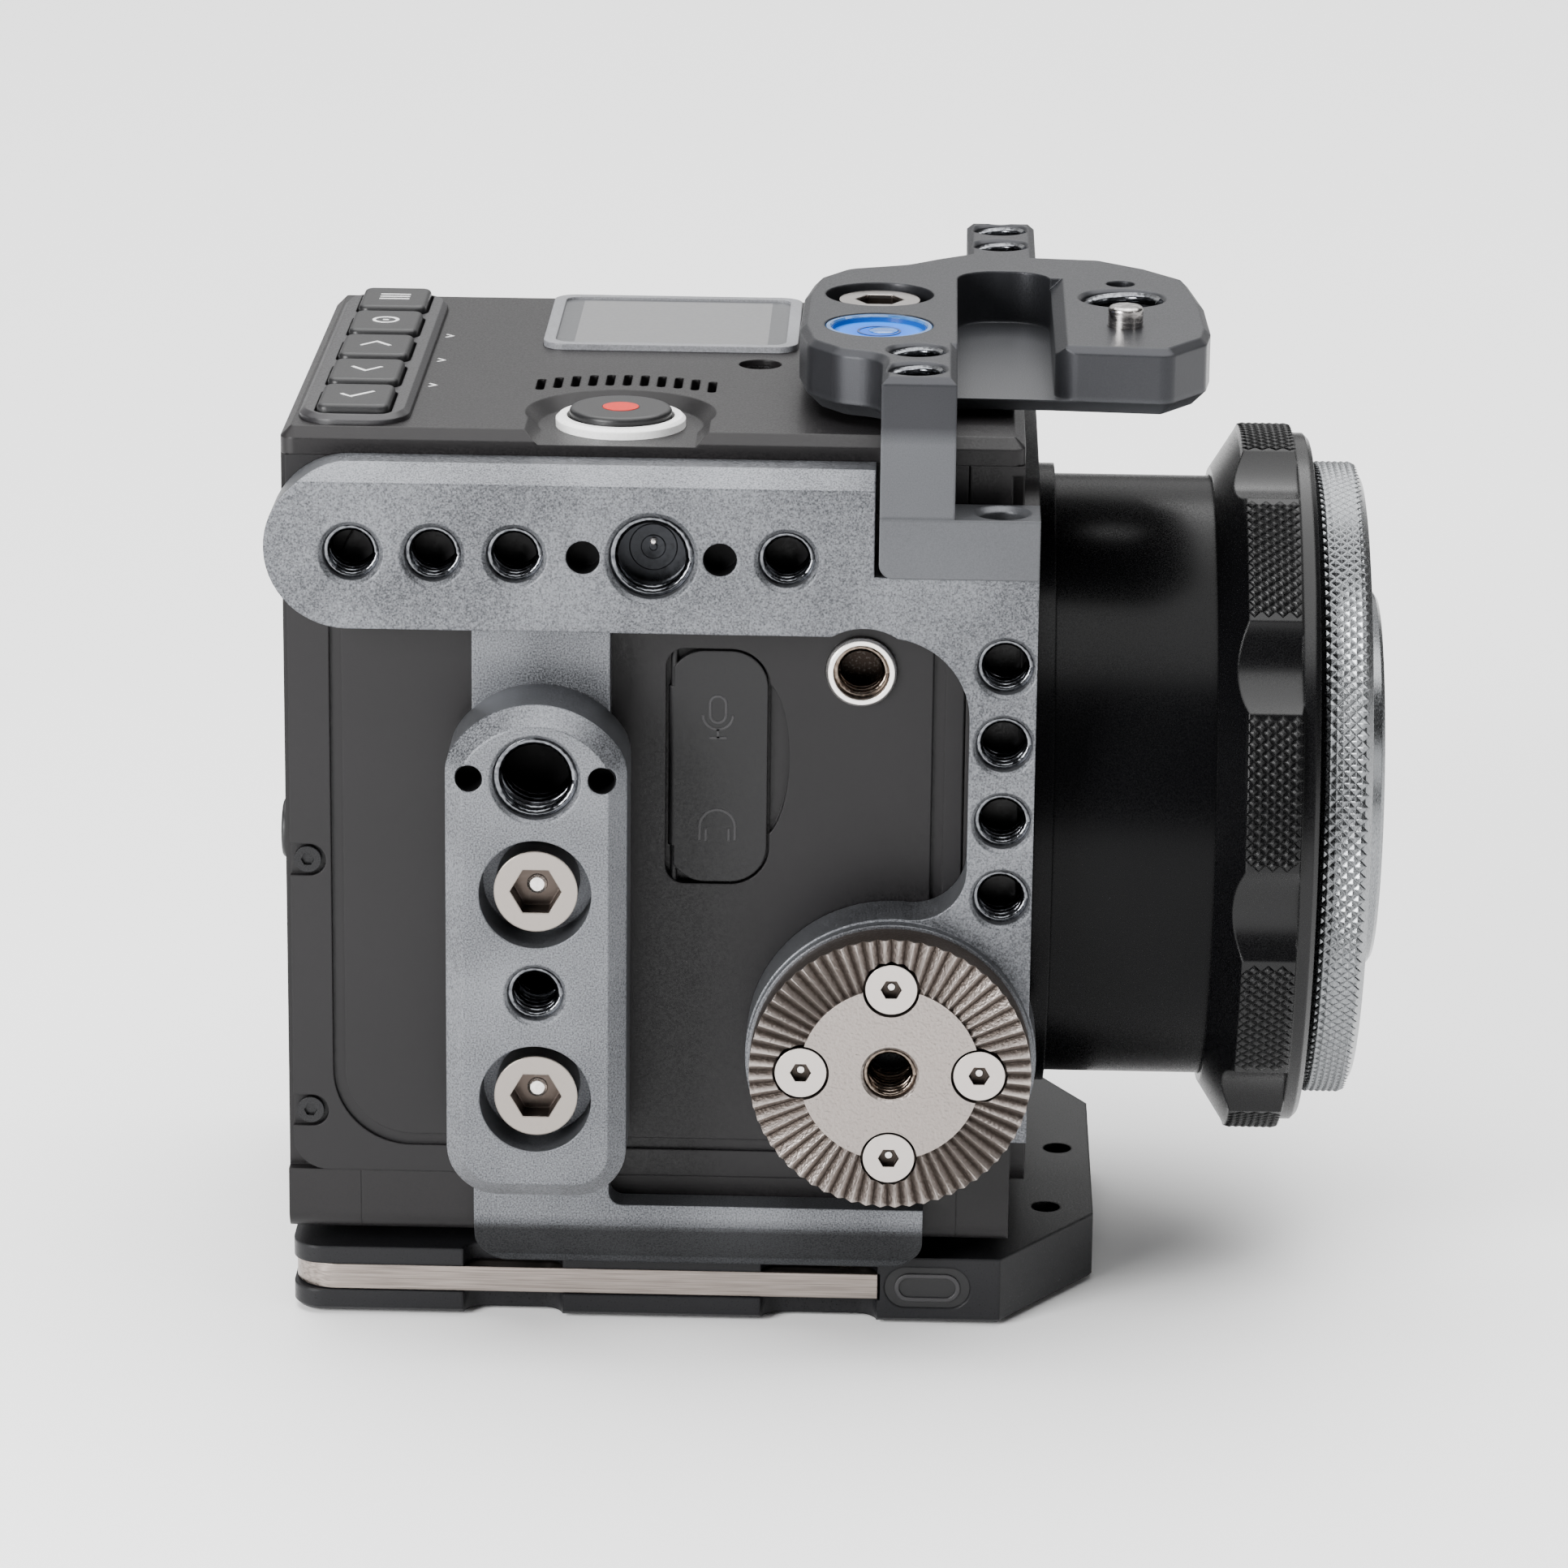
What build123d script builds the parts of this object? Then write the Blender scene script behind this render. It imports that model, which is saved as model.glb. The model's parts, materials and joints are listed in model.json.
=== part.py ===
from build123d import *
import math
import os

os.makedirs("parts", exist_ok=True)

# Row frame: +X to the lens, +Y away from the control side, +Z up, origin at the tripod socket mouth.
# ---- overall sizes -------------------------------------------------------------------------------
BODY_REAR = -45.0                 # X of the rear face
BODY_FRONT = 38.2                 # X of the front face
BODY_HALF_WIDTH = 34.6            # Y of the side panels
BODY_FLOOR = 10.5                 # Z under the camera
BODY_TOP = 106.2                  # Z of the top face
REAR_SEAM = -36.6                 # X where the rear cover ends
FRONT_SEAM = 32.1                 # X where the front plate starts
COVER_THICKNESS = 3.1
PANEL_THICKNESS = 1.5
PANEL_BOTTOM = 18.2
WALL = 1.9
COVER_BASE = BODY_TOP - COVER_THICKNESS
SHELL_HALF = BODY_HALF_WIDTH - PANEL_THICKNESS
INNER_HALF = SHELL_HALF - WALL
CAVITY_FLOOR = BODY_FLOOR + 2.3
BASE_TOP = 8.0                    # Z of the base plate's top face
EDGE_BREAK = 1.2
MOVE_GAP = 0.3                    # clearance round every part that moves
FIT_GAP = 0.1                     # clearance of a guided sliding fit

# ---- controls ------------------------------------------------------------------------------------
BUTTON_X = -37.1
BUTTON_PITCH = 12.6
BUTTON_MIDDLE_Y = -1.2
BUTTON_LENGTH_X = 8.1
BUTTON_LENGTH_Y = 10.6
BEZEL_SIZE = (12.4, 63.4)
BEZEL_RISE = 1.1
BUTTON_RISE = 2.0
REC_X, REC_Y = -7.4, -24.5
REC_RING_R = 7.35
REC_BUTTON_R = 5.8
REC_DOT_R = 2.05
SCREEN_X, SCREEN_Y = -3.2, 19.3
SCREEN_FRAME = (30.0, 26.8)
SCREEN_GLASS = (27.2, 24.2)
SCREEN_MODULE = (23.0, 22.0)
VENT_COUNT = 11
VENT_PITCH = 1.97
VENT_WIDTH = 1.0
TOP_THREAD_X, TOP_THREAD_Y = 7.6, 0.0
M5_R = 2.5
QUARTER_R = 3.175                 # 1/4-20 thread
THREE_EIGHTS_R = 4.7625           # 3/8-16 thread

# ---- side of the camera --------------------------------------------------------------------------
DOOR_X0, DOOR_X1 = -1.4, 9.8
DOOR_Z0, DOOR_Z1 = 54.0, 81.2
DOOR_THICKNESS = 1.3
DOOR_CORNER_R = 4.2
INSERT_X, INSERT_Z = 20.3, 79.2
INSERT_R = 4.0
JACK_X = 4.2
PANEL_SCREW_X = -42.4
PANEL_SCREW_Z = (25.4, 55.7)

# ---- lens group ----------------------------------------------------------------------------------
LENS_Z = 57.3
FLANGE_R = 36.6
TUBE_R = 35.4
TUBE_WALL = 3.2
THROAT_R = TUBE_R - 11.4
FLANGE_SCREW_R = TUBE_R - 6.4     # flange screws sit inside the tube
CAP_BORE_R = TUBE_R - 8.4
RING_R = 41.55
RING_X0, RING_X1 = 60.6, 72.0
SCALLOPS = 9
SCALLOP_PHASE = -6.0
CAP_R = 37.0
CAP_X0, CAP_X1 = 72.3, 78.2
HUB_R = 22.0
HUB_X1 = 80.6

# ---- cage ----------------------------------------------------------------------------------------
CAGE_OUT = -41.7                  # Y of the rail face
CAGE_IN = -34.9                   # Y of the inner face
HOLE_PITCH = 9.1
RAIL_X0, RAIL_X1 = -46.2, 21.6
RAIL_HEIGHT = 18.4
RAIL_Z1 = BODY_TOP - 2.7
RAIL_Z0 = RAIL_Z1 - RAIL_HEIGHT
RAIL_HOLE_Z = RAIL_Z1 - 9.8
RAIL_BIG_X = -3.1
LOCATOR_OFFSET = 7.6
LOCATOR_R = 1.9
COLUMN_X0, COLUMN_X1 = 32.5, 39.9
COLUMN_HOLE_X = 36.4
COLUMN_TOP_HOLE_Z = RAIL_Z1 - 21.7
FOOT_Z1 = RAIL_Z1 - 4.7            # top face of the plate's foot
FOOT_Z0 = FOOT_Z1 - 6.8
STRAP_X0, STRAP_X1 = -23.3, -7.8
STRAP_FACE = -38.6
SILL_X1 = 28.3
SILL_Z1 = 16.0
SILL_BEVEL_Z = 13.4
FLOOR_Z0 = BASE_TOP               # the cage floor sits on the base plate
ROSETTE_X, ROSETTE_Z = 24.3, 35.7
ROSETTE_R = 15.9
ROSETTE_TEETH = 60
ROSETTE_INNER_R = 10.2
ROSETTE_FACE = -47.6
BOSS_FACE = -43.2
BOSS_R = 16.5
ROSETTE_SCREW_CIRCLE = 10.05
M6_R = 3.0

# ---- accessory bar -------------------------------------------------------------------------------
BAR_X = -15.55
BAR_WIDTH = 20.3
BAR_Z0, BAR_Z1 = 20.3, 78.2
BAR_ARCH_R = 11.2
BAR_FACE = -49.0
BAR_BIG_Z = 70.1
BAR_SCREW_Z = (56.7, 32.5)
BAR_SMALL_Z = 44.9
HEAD_R = 4.7
COUNTERBORE_R = 6.3
HEX_AF = 5.0

# ---- top plate -----------------------------------------------------------------------------------
PLATE_Z0 = BODY_TOP + 0.8
PLATE_Z1 = PLATE_Z0 + 7.8
PLATE_SCREW_X = 21.4
LEVEL_X, LEVEL_Y = 21.5, -16.0
LEVEL_R = 6.2
PAD_X = 49.5
NEAR_ARM_X = 25.9
FAR_ARM_X = 35.6
ARM_HOLE_Y = 28.3
FOOT_HOLE_X, FOOT_HOLE_Y = 35.7, -38.4
PIN_Y = -14.6

# ---- base ----------------------------------------------------------------------------------------
TRIPOD_TOP = BASE_TOP - 1.0       # the socket stays inside the base plate
TRIPOD_R = 8.0
BASE_HALF = 33.0
BASE_X0, BASE_X1 = -45.0, 48.5
SLOT_Z0, SLOT_Z1 = 2.6, 5.9
KEY_WIDTH = 5.6
KEY_END_X = 23.2
KEY_END_Y = -8.0
SLOT_DEPTH = 6.0
RETAINER_X, RETAINER_Z = 29.0, 4.3


def block(x0, x1, y0, y1, z0, z1, mode=Mode.ADD):
    with Locations(((x0 + x1) / 2, (y0 + y1) / 2, (z0 + z1) / 2)):
        Box(abs(x1 - x0), abs(y1 - y0), abs(z1 - z0), mode=mode)


def bore_z(x, y, z0, z1, radius, mode=Mode.SUBTRACT):
    with Locations((x, y, (z0 + z1) / 2)):
        Cylinder(radius, abs(z1 - z0), mode=mode)


def bore_y(x, z, y0, y1, radius, mode=Mode.SUBTRACT):
    with Locations((x, (y0 + y1) / 2, z)):
        Cylinder(radius, abs(y1 - y0), rotation=(90, 0, 0), mode=mode)


def bore_x(y, z, x0, x1, radius, mode=Mode.SUBTRACT):
    with Locations(((x0 + x1) / 2, y, z)):
        Cylinder(radius, abs(x1 - x0), rotation=(0, 90, 0), mode=mode)


def mouth_y(x, z, y_face, radius, size=0.5):
    """45 degree break on a hole that opens towards -Y."""
    with Locations(Location((x, y_face + size / 2, z), (90, 0, 0))):
        Cone(radius, radius + size, size, mode=Mode.SUBTRACT)


def mouth_z(x, y, z_face, radius, size=0.5):
    """45 degree break on a hole that opens upwards."""
    with Locations((x, y, z_face - size / 2)):
        Cone(radius, radius + size, size, mode=Mode.SUBTRACT)


def side_plane(y):
    """Sketch plane on the control side: sketch x is X, sketch y is Z, normal towards -Y."""
    return Plane(origin=(0, y, 0), x_dir=(1, 0, 0), z_dir=(0, -1, 0))


def lens_plane(x):
    """Sketch plane across the lens axis: normal +X, centred on the axis."""
    return Plane(origin=(x, 0, LENS_Z), x_dir=(0, 1, 0), z_dir=(1, 0, 0))


def save(part, label):
    part.label = label
    export_step(part, "parts/" + label + ".step")


button_ys = [BUTTON_MIDDLE_Y + BUTTON_PITCH * step for step in (2, 1, 0, -1, -2)]
button_names = ["menu_button", "function_button", "up_button", "down_button", "ok_button"]

# ==== camera body =================================================================================
with BuildPart() as main_housing:
    block(REAR_SEAM, FRONT_SEAM, -SHELL_HALF, SHELL_HALF, PANEL_BOTTOM, COVER_BASE)
    with BuildSketch(Plane.YZ.offset(REAR_SEAM)):
        with Locations((0, (BODY_FLOOR + PANEL_BOTTOM) / 2)):
            Rectangle(2 * BODY_HALF_WIDTH, PANEL_BOTTOM - BODY_FLOOR)
    extrude(amount=FRONT_SEAM - REAR_SEAM)
    lower = main_housing.edges().filter_by(Axis.X).group_by(Axis.Z)[0]
    fillet(lower, 2.5)
    block(REAR_SEAM, FRONT_SEAM, -INNER_HALF, INNER_HALF, CAVITY_FLOOR, COVER_BASE, Mode.SUBTRACT)
    for jack_z in (DOOR_Z0 + 6.6, DOOR_Z1 - 6.6):
        bore_y(JACK_X, jack_z, -SHELL_HALF - 1, -INNER_HALF + 1, 4.2)
    bore_y(INSERT_X, INSERT_Z, -SHELL_HALF - 1, -INNER_HALF + 1, INSERT_R)
    with BuildSketch(side_plane(SHELL_HALF + 1)):
        with GridLocations(4.0, 0, 9, 1):
            with Locations((-2, 60)):
                SlotOverall(26, 1.8, rotation=90)
    extrude(amount=WALL + 2, mode=Mode.SUBTRACT)
save(main_housing.part, "main_housing")

with BuildPart() as rear_cover:
    block(BODY_REAR, REAR_SEAM, -SHELL_HALF, SHELL_HALF, PANEL_BOTTOM, COVER_BASE)
    with BuildSketch(Plane.YZ.offset(BODY_REAR)):
        with Locations((0, (BODY_FLOOR + PANEL_BOTTOM) / 2)):
            Rectangle(2 * BODY_HALF_WIDTH, PANEL_BOTTOM - BODY_FLOOR)
    extrude(amount=REAR_SEAM - BODY_REAR)
    fillet(rear_cover.edges().filter_by(Axis.X).group_by(Axis.Z)[0], 2.5)
    block(BODY_REAR + 1.8, REAR_SEAM, -INNER_HALF, INNER_HALF, CAVITY_FLOOR, COVER_BASE, Mode.SUBTRACT)
    block(BODY_REAR + 1, BODY_REAR + 6.6, -21.6, 21.6, 28.0, 92.0)
    with BuildSketch(Plane.YZ.offset(BODY_REAR - 1)):
        with Locations((0, 60)):
            RectangleRounded(40, 60, 3)
    extrude(amount=6.0, mode=Mode.SUBTRACT)
    bore_x(-26.6, 57.0, BODY_REAR - 1, BODY_REAR + 2.2, 3.4 + MOVE_GAP)
    for screw_z in PANEL_SCREW_Z:
        for side in (-1, 1):
            bore_y(PANEL_SCREW_X, screw_z, side * (SHELL_HALF + 1), side * (INNER_HALF - 1), 0.8)
save(rear_cover.part, "rear_cover")

with BuildPart() as front_plate:
    with BuildSketch(Plane.YZ.offset(FRONT_SEAM)):
        with Locations((0, (BODY_FLOOR + COVER_BASE) / 2)):
            Rectangle(2 * BODY_HALF_WIDTH, COVER_BASE - BODY_FLOOR)
    extrude(amount=BODY_FRONT - FRONT_SEAM)
    fillet(front_plate.edges().filter_by(Axis.X).group_by(Axis.Z)[0], 2.5)
    with BuildSketch(Plane.YZ.offset(BODY_FRONT)):
        with Locations((0, LENS_Z)):
            RectangleRounded(2 * BODY_HALF_WIDTH - 3, 84, 9)
    extrude(amount=1.8)
    bore_x(0, LENS_Z, FRONT_SEAM - 12, BODY_FRONT + 3, THROAT_R)
    block(36.8, 41, -BODY_HALF_WIDTH - 1, -BODY_HALF_WIDTH + 3.2, FOOT_Z1 - 1.4, FOOT_Z1 + 3.2,
          Mode.SUBTRACT)
    with Locations(lens_plane(BODY_FRONT + 1.8)):
        with PolarLocations(FLANGE_SCREW_R, 4, start_angle=45):
            Hole(1.3, 6.0)
    with BuildSketch(lens_plane(21.6)):
        with GridLocations(40, 40, 2, 2):
            Circle(2.2)
    extrude(amount=FRONT_SEAM - 21.6)
save(front_plate.part, "front_plate")

with BuildPart() as top_cover:
    with BuildSketch(Plane.XY.offset(COVER_BASE)):
        with Locations(((BODY_REAR + BODY_FRONT) / 2, 0)):
            RectangleRounded(BODY_FRONT - BODY_REAR, 2 * BODY_HALF_WIDTH, 1.6)
    extrude(amount=COVER_THICKNESS)
    chamfer(top_cover.edges().filter_by(Axis.X).group_by(Axis.Z)[-1], EDGE_BREAK)
    with BuildSketch(Plane.XY.offset(BODY_TOP)):
        with Locations((BUTTON_X, BUTTON_MIDDLE_Y)):
            RectangleRounded(BEZEL_SIZE[0], BEZEL_SIZE[1], 4.5)
    extrude(amount=-1.0, mode=Mode.SUBTRACT)
    with BuildSketch(Plane.XY.offset(BODY_TOP)):
        with Locations([(BUTTON_X, y) for y in button_ys]):
            RectangleRounded(BUTTON_LENGTH_X + 2 * MOVE_GAP, BUTTON_LENGTH_Y + 2 * MOVE_GAP, 1.5)
    extrude(amount=-COVER_THICKNESS, mode=Mode.SUBTRACT)
    with BuildSketch(Plane.XY.offset(BODY_TOP)):
        with Locations((SCREEN_X, SCREEN_Y)):
            RectangleRounded(SCREEN_FRAME[0], SCREEN_FRAME[1], 2.6)
    extrude(amount=-1.0, mode=Mode.SUBTRACT)
    with BuildSketch(Plane.XY.offset(BODY_TOP)):
        with Locations((SCREEN_X, SCREEN_Y)):
            Rectangle(SCREEN_MODULE[0], SCREEN_MODULE[1])
    extrude(amount=-COVER_THICKNESS, mode=Mode.SUBTRACT)
    # dished pocket round the record button, open to the near edge
    with BuildSketch(Plane.XY.offset(BODY_TOP - 1.5)):
        with Locations((REC_X, REC_Y)):
            Circle(9.3)
        with Locations((REC_X, REC_Y - 7.5)):
            Rectangle(17.6, 15)
    extrude(amount=2.0, taper=-45, mode=Mode.SUBTRACT)
    bore_z(REC_X, REC_Y, COVER_BASE - 1, BODY_TOP, REC_RING_R)
    for index in range(VENT_COUNT):
        offset = (index - (VENT_COUNT - 1) / 2) * VENT_PITCH
        drop = 0.028 * offset * offset
        with BuildSketch(Plane.XY.offset(BODY_TOP)):
            with Locations((REC_X + offset, REC_Y + 15.4 - drop)):
                SlotOverall(5.4, VENT_WIDTH, rotation=90)
        extrude(amount=-COVER_THICKNESS, mode=Mode.SUBTRACT)
    bore_z(TOP_THREAD_X, TOP_THREAD_Y, COVER_BASE - 4, BODY_TOP, M5_R)
    bore_z(TOP_THREAD_X, TOP_THREAD_Y, COVER_BASE - 1, BODY_TOP - 0.8, 3.8)
    bore_z(PLATE_SCREW_X, 0, COVER_BASE - 5, COVER_BASE, 6.0, Mode.ADD)
    bore_z(PLATE_SCREW_X, 0, COVER_BASE - 5, BODY_TOP, QUARTER_R)
    for post_x, post_y in ((-31.0, -24.0), (-31.0, 26.0), (-20.0, -28.0)):
        bore_z(post_x, post_y, COVER_BASE - 2.4, COVER_BASE, 1.1, Mode.ADD)
save(top_cover.part, "top_cover")

for side, label in ((-1, "near_side_panel"), (1, "far_side_panel")):
    with BuildPart() as panel:
        with BuildSketch(side_plane(-SHELL_HALF if side < 0 else BODY_HALF_WIDTH)):
            with Locations(((BODY_REAR + 0.6 + 31.9) / 2, (PANEL_BOTTOM + COVER_BASE) / 2)):
                Rectangle(31.9 - BODY_REAR - 0.6, COVER_BASE - PANEL_BOTTOM)
        extrude(amount=PANEL_THICKNESS)
        corner = panel.edges().filter_by(Axis.Y).sort_by(Axis.X)[0:2].sort_by(Axis.Z)[0]
        fillet(corner, 4.0)
        outer_y = side * BODY_HALF_WIDTH
        with BuildSketch(side_plane(-BODY_HALF_WIDTH if side < 0 else BODY_HALF_WIDTH)):
            with Locations((-4.95, 60.2)):
                RectangleRounded(69.5, 77.6, 9)
                RectangleRounded(66.7, 74.8, 7.6, mode=Mode.SUBTRACT)
        extrude(amount=side * 0.5, mode=Mode.SUBTRACT)
        for screw_z in PANEL_SCREW_Z:
            with BuildSketch(side_plane(outer_y)):
                with Locations((PANEL_SCREW_X - 1.4, screw_z)):
                    SlotOverall(7.0, 3.8)
            extrude(amount=side * 0.9, mode=Mode.SUBTRACT)
            bore_y(PANEL_SCREW_X, screw_z, side * (SHELL_HALF - 1), outer_y + side, 0.8)
        if side < 0:
            with BuildSketch(side_plane(-BODY_HALF_WIDTH)):
                with Locations(((DOOR_X0 + DOOR_X1) / 2, (DOOR_Z0 + DOOR_Z1) / 2)):
                    RectangleRounded(DOOR_X1 - DOOR_X0 + 2 * MOVE_GAP, DOOR_Z1 - DOOR_Z0 + 2 * MOVE_GAP,
                                     DOOR_CORNER_R + MOVE_GAP)
                with Locations((DOOR_X0 - MOVE_GAP + 4.0, (DOOR_Z0 + DOOR_Z1) / 2)):
                    RectangleRounded(8.0, DOOR_Z1 - DOOR_Z0 + 2 * MOVE_GAP, 2.2)
            extrude(amount=-PANEL_THICKNESS, mode=Mode.SUBTRACT)
            with BuildSketch(side_plane(-BODY_HALF_WIDTH)):
                with Locations((DOOR_X1 - 1.0, (DOOR_Z0 + DOOR_Z1) / 2 + 1)):
                    Ellipse(3.5, 9.5)
            extrude(amount=-1.0, mode=Mode.SUBTRACT)
            bore_z(DOOR_X0 + DOOR_THICKNESS / 2, -BODY_HALF_WIDTH + PANEL_THICKNESS / 2,
                   DOOR_Z0 - 1.2, DOOR_Z1 + 1.2, 0.45)
            bore_y(INSERT_X, INSERT_Z, -BODY_HALF_WIDTH - 1, -SHELL_HALF + 1, INSERT_R)
        else:
            with BuildSketch(side_plane(BODY_HALF_WIDTH + 1)):
                with GridLocations(4.0, 0, 9, 1):
                    with Locations((-2, 60)):
                        SlotOverall(26, 1.8, rotation=90)
            extrude(amount=PANEL_THICKNESS + 2, mode=Mode.SUBTRACT)
    save(panel.part, label)

with BuildPart() as side_panel_screws:
    for side in (-1, 1):
        for screw_z in PANEL_SCREW_Z:
            head_y = side * (BODY_HALF_WIDTH - 0.9)
            bore_y(PANEL_SCREW_X, screw_z, head_y, side * (BODY_HALF_WIDTH - 0.1), 1.55, Mode.ADD)
            bore_y(PANEL_SCREW_X, screw_z, head_y, side * (INNER_HALF + 0.2), 0.8, Mode.ADD)
            with BuildSketch(side_plane(side * (BODY_HALF_WIDTH - 0.1))):
                with Locations((PANEL_SCREW_X, screw_z)):
                    RegularPolygon(0.75, 6)
            extrude(amount=side * 0.5, mode=Mode.SUBTRACT)
save(side_panel_screws.part, "side_panel_screws")

# ==== controls ====================================================================================
with BuildPart() as button_bezel:
    with BuildSketch(Plane.XY.offset(BODY_TOP - 1.0)):
        with Locations((BUTTON_X, BUTTON_MIDDLE_Y)):
            RectangleRounded(BEZEL_SIZE[0], BEZEL_SIZE[1], 4.5)
        with Locations([(BUTTON_X, y) for y in button_ys]):
            RectangleRounded(BUTTON_LENGTH_X + 2 * MOVE_GAP, BUTTON_LENGTH_Y + 2 * MOVE_GAP, 1.5,
                             mode=Mode.SUBTRACT)
    extrude(amount=1.0 + BEZEL_RISE)
    rim = button_bezel.edges().group_by(Axis.Z)[-1].filter_by(Axis.Y).sort_by(Axis.X)
    chamfer([rim[0], rim[-1]], 0.6)
save(button_bezel.part, "button_bezel")

for label, button_y in zip(button_names, button_ys):
    with BuildPart() as button:
        with BuildSketch(Plane.XY.offset(COVER_BASE + 0.8)):
            with Locations((BUTTON_X, button_y)):
                RectangleRounded(BUTTON_LENGTH_X, BUTTON_LENGTH_Y, 1.2)
        extrude(amount=BODY_TOP + BUTTON_RISE - COVER_BASE - 0.8)
        fillet(button.edges().group_by(Axis.Z)[-1], 0.6)
        block(BUTTON_X - 3.5, BUTTON_X + 3.5, button_y - 3.6, button_y + 3.6, COVER_BASE - 0.5, COVER_BASE + 0.8)
        block(BUTTON_X - 4.9, BUTTON_X + 4.9, button_y - 3.6, button_y + 3.6, COVER_BASE - 1.1, COVER_BASE - MOVE_GAP)
    save(button.part, label)

with BuildPart() as record_ring:
    bore_z(REC_X, REC_Y, COVER_BASE, BODY_TOP - 0.3, REC_RING_R, Mode.ADD)
    chamfer(record_ring.edges().group_by(Axis.Z)[-1], 0.35)
    bore_z(REC_X, REC_Y, COVER_BASE - 1, BODY_TOP + 1, REC_BUTTON_R + MOVE_GAP)
save(record_ring.part, "record_ring")

with BuildPart() as record_button:
    bore_z(REC_X, REC_Y, COVER_BASE - 1.2, BODY_TOP + 0.6, REC_BUTTON_R, Mode.ADD)
    fillet(record_button.edges().group_by(Axis.Z)[-1], 0.5)
    bore_z(REC_X, REC_Y, COVER_BASE - 1.2, COVER_BASE - MOVE_GAP, REC_BUTTON_R + 0.6, Mode.ADD)
    bore_z(REC_X, REC_Y, BODY_TOP + 0.3, BODY_TOP + 1, REC_DOT_R)
save(record_button.part, "record_button")

with BuildPart() as record_dot:
    bore_z(REC_X, REC_Y, BODY_TOP + 0.3, BODY_TOP + 0.65, REC_DOT_R, Mode.ADD)
save(record_dot.part, "record_dot")

with BuildPart() as display_frame:
    with BuildSketch(Plane.XY.offset(BODY_TOP - 1.0)):
        with Locations((SCREEN_X, SCREEN_Y)):
            RectangleRounded(SCREEN_FRAME[0], SCREEN_FRAME[1], 2.6)
            RectangleRounded(SCREEN_GLASS[0], SCREEN_GLASS[1], 1.6, mode=Mode.SUBTRACT)
    extrude(amount=1.7)
save(display_frame.part, "display_frame")

with BuildPart() as display_glass:
    with BuildSketch(Plane.XY.offset(BODY_TOP - 1.0)):
        with Locations((SCREEN_X, SCREEN_Y)):
            RectangleRounded(SCREEN_GLASS[0], SCREEN_GLASS[1], 1.6)
    extrude(amount=1.4)
save(display_glass.part, "display_glass")

with BuildPart() as display_module:
    with BuildSketch(Plane.XY.offset(BODY_TOP - 1.0)):
        with Locations((SCREEN_X, SCREEN_Y)):
            Rectangle(SCREEN_MODULE[0], SCREEN_MODULE[1])
    extrude(amount=-3.4)
save(display_module.part, "display_module")

with BuildPart() as button_board:
    block(-42.5, -30.0, -30.6, 30.6, COVER_BASE - 4.0, COVER_BASE - 2.4)
    block(-30.0, REC_X + 7.0, -30.6, -17.0, COVER_BASE - 4.0, COVER_BASE - 2.4)
save(button_board.part, "button_board")

# ==== ports and inserts ===========================================================================
hinge_x = DOOR_X0 + DOOR_THICKNESS / 2
hinge_y = -BODY_HALF_WIDTH + PANEL_THICKNESS / 2
with BuildPart() as port_door:
    with BuildSketch(side_plane(hinge_y + DOOR_THICKNESS / 2)):
        with Locations(((DOOR_X0 + DOOR_X1) / 2, (DOOR_Z0 + DOOR_Z1) / 2)):
            RectangleRounded(DOOR_X1 - DOOR_X0, DOOR_Z1 - DOOR_Z0, DOOR_CORNER_R)
        with Locations((hinge_x - 5, (DOOR_Z0 + DOOR_Z1) / 2)):
            Rectangle(10, DOOR_Z1 - DOOR_Z0, mode=Mode.SUBTRACT)
    extrude(amount=DOOR_THICKNESS)
    bore_z(hinge_x, hinge_y, DOOR_Z0 + DOOR_CORNER_R, DOOR_Z1 - DOOR_CORNER_R, DOOR_THICKNESS / 2, Mode.ADD)
    bore_z(hinge_x, hinge_y, DOOR_Z0 - 0.9, DOOR_Z1 + 0.9, 0.4, Mode.ADD)
save(port_door.part, "port_door")

for label, jack_z in (("microphone_jack", DOOR_Z1 - 6.6), ("headphone_jack", DOOR_Z0 + 6.6)):
    with BuildPart() as jack:
        bore_y(JACK_X, jack_z, -SHELL_HALF, -SHELL_HALF + 11, 4.2, Mode.ADD)
        bore_y(JACK_X, jack_z, -SHELL_HALF - 1, -SHELL_HALF + 9.5, 1.8)
    save(jack.part, label)

with BuildPart() as side_thread_insert:
    bore_y(INSERT_X, INSERT_Z, -BODY_HALF_WIDTH - 0.9, -INNER_HALF + 3.0, INSERT_R, Mode.ADD)
    chamfer(side_thread_insert.edges().sort_by(Axis.Y)[0], 0.3)
    bore_y(INSERT_X, INSERT_Z, -BODY_HALF_WIDTH - 2, -INNER_HALF + 1.5, QUARTER_R)
save(side_thread_insert.part, "side_thread_insert")

with BuildPart() as top_thread_insert:
    bore_z(TOP_THREAD_X, TOP_THREAD_Y, COVER_BASE - 3.6, BODY_TOP - 0.8, 3.8, Mode.ADD)
    bore_z(TOP_THREAD_X, TOP_THREAD_Y, COVER_BASE - 2.8, BODY_TOP, M5_R)
save(top_thread_insert.part, "top_thread_insert")

# ==== inside the camera ===========================================================================
with BuildPart() as main_board:
    block(-12.0, -10.4, -30.0, 30.0, CAVITY_FLOOR, 96.0)
save(main_board.part, "main_board")

with BuildPart() as heat_sink:
    block(-10.4, -8.0, -20.0, 20.0, 40.0, 82.0)
    with BuildSketch(Plane.YZ.offset(-8.0)):
        with Locations((0, 61)):
            with GridLocations(4.0, 0, 10, 1):
                Rectangle(1.4, 42)
    extrude(amount=6.5)
save(heat_sink.part, "heat_sink")

with BuildPart() as sensor_board:
    block(20.0, 21.6, -23.0, 23.0, LENS_Z - 23.0, LENS_Z + 23.0)
save(sensor_board.part, "sensor_board")

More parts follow.
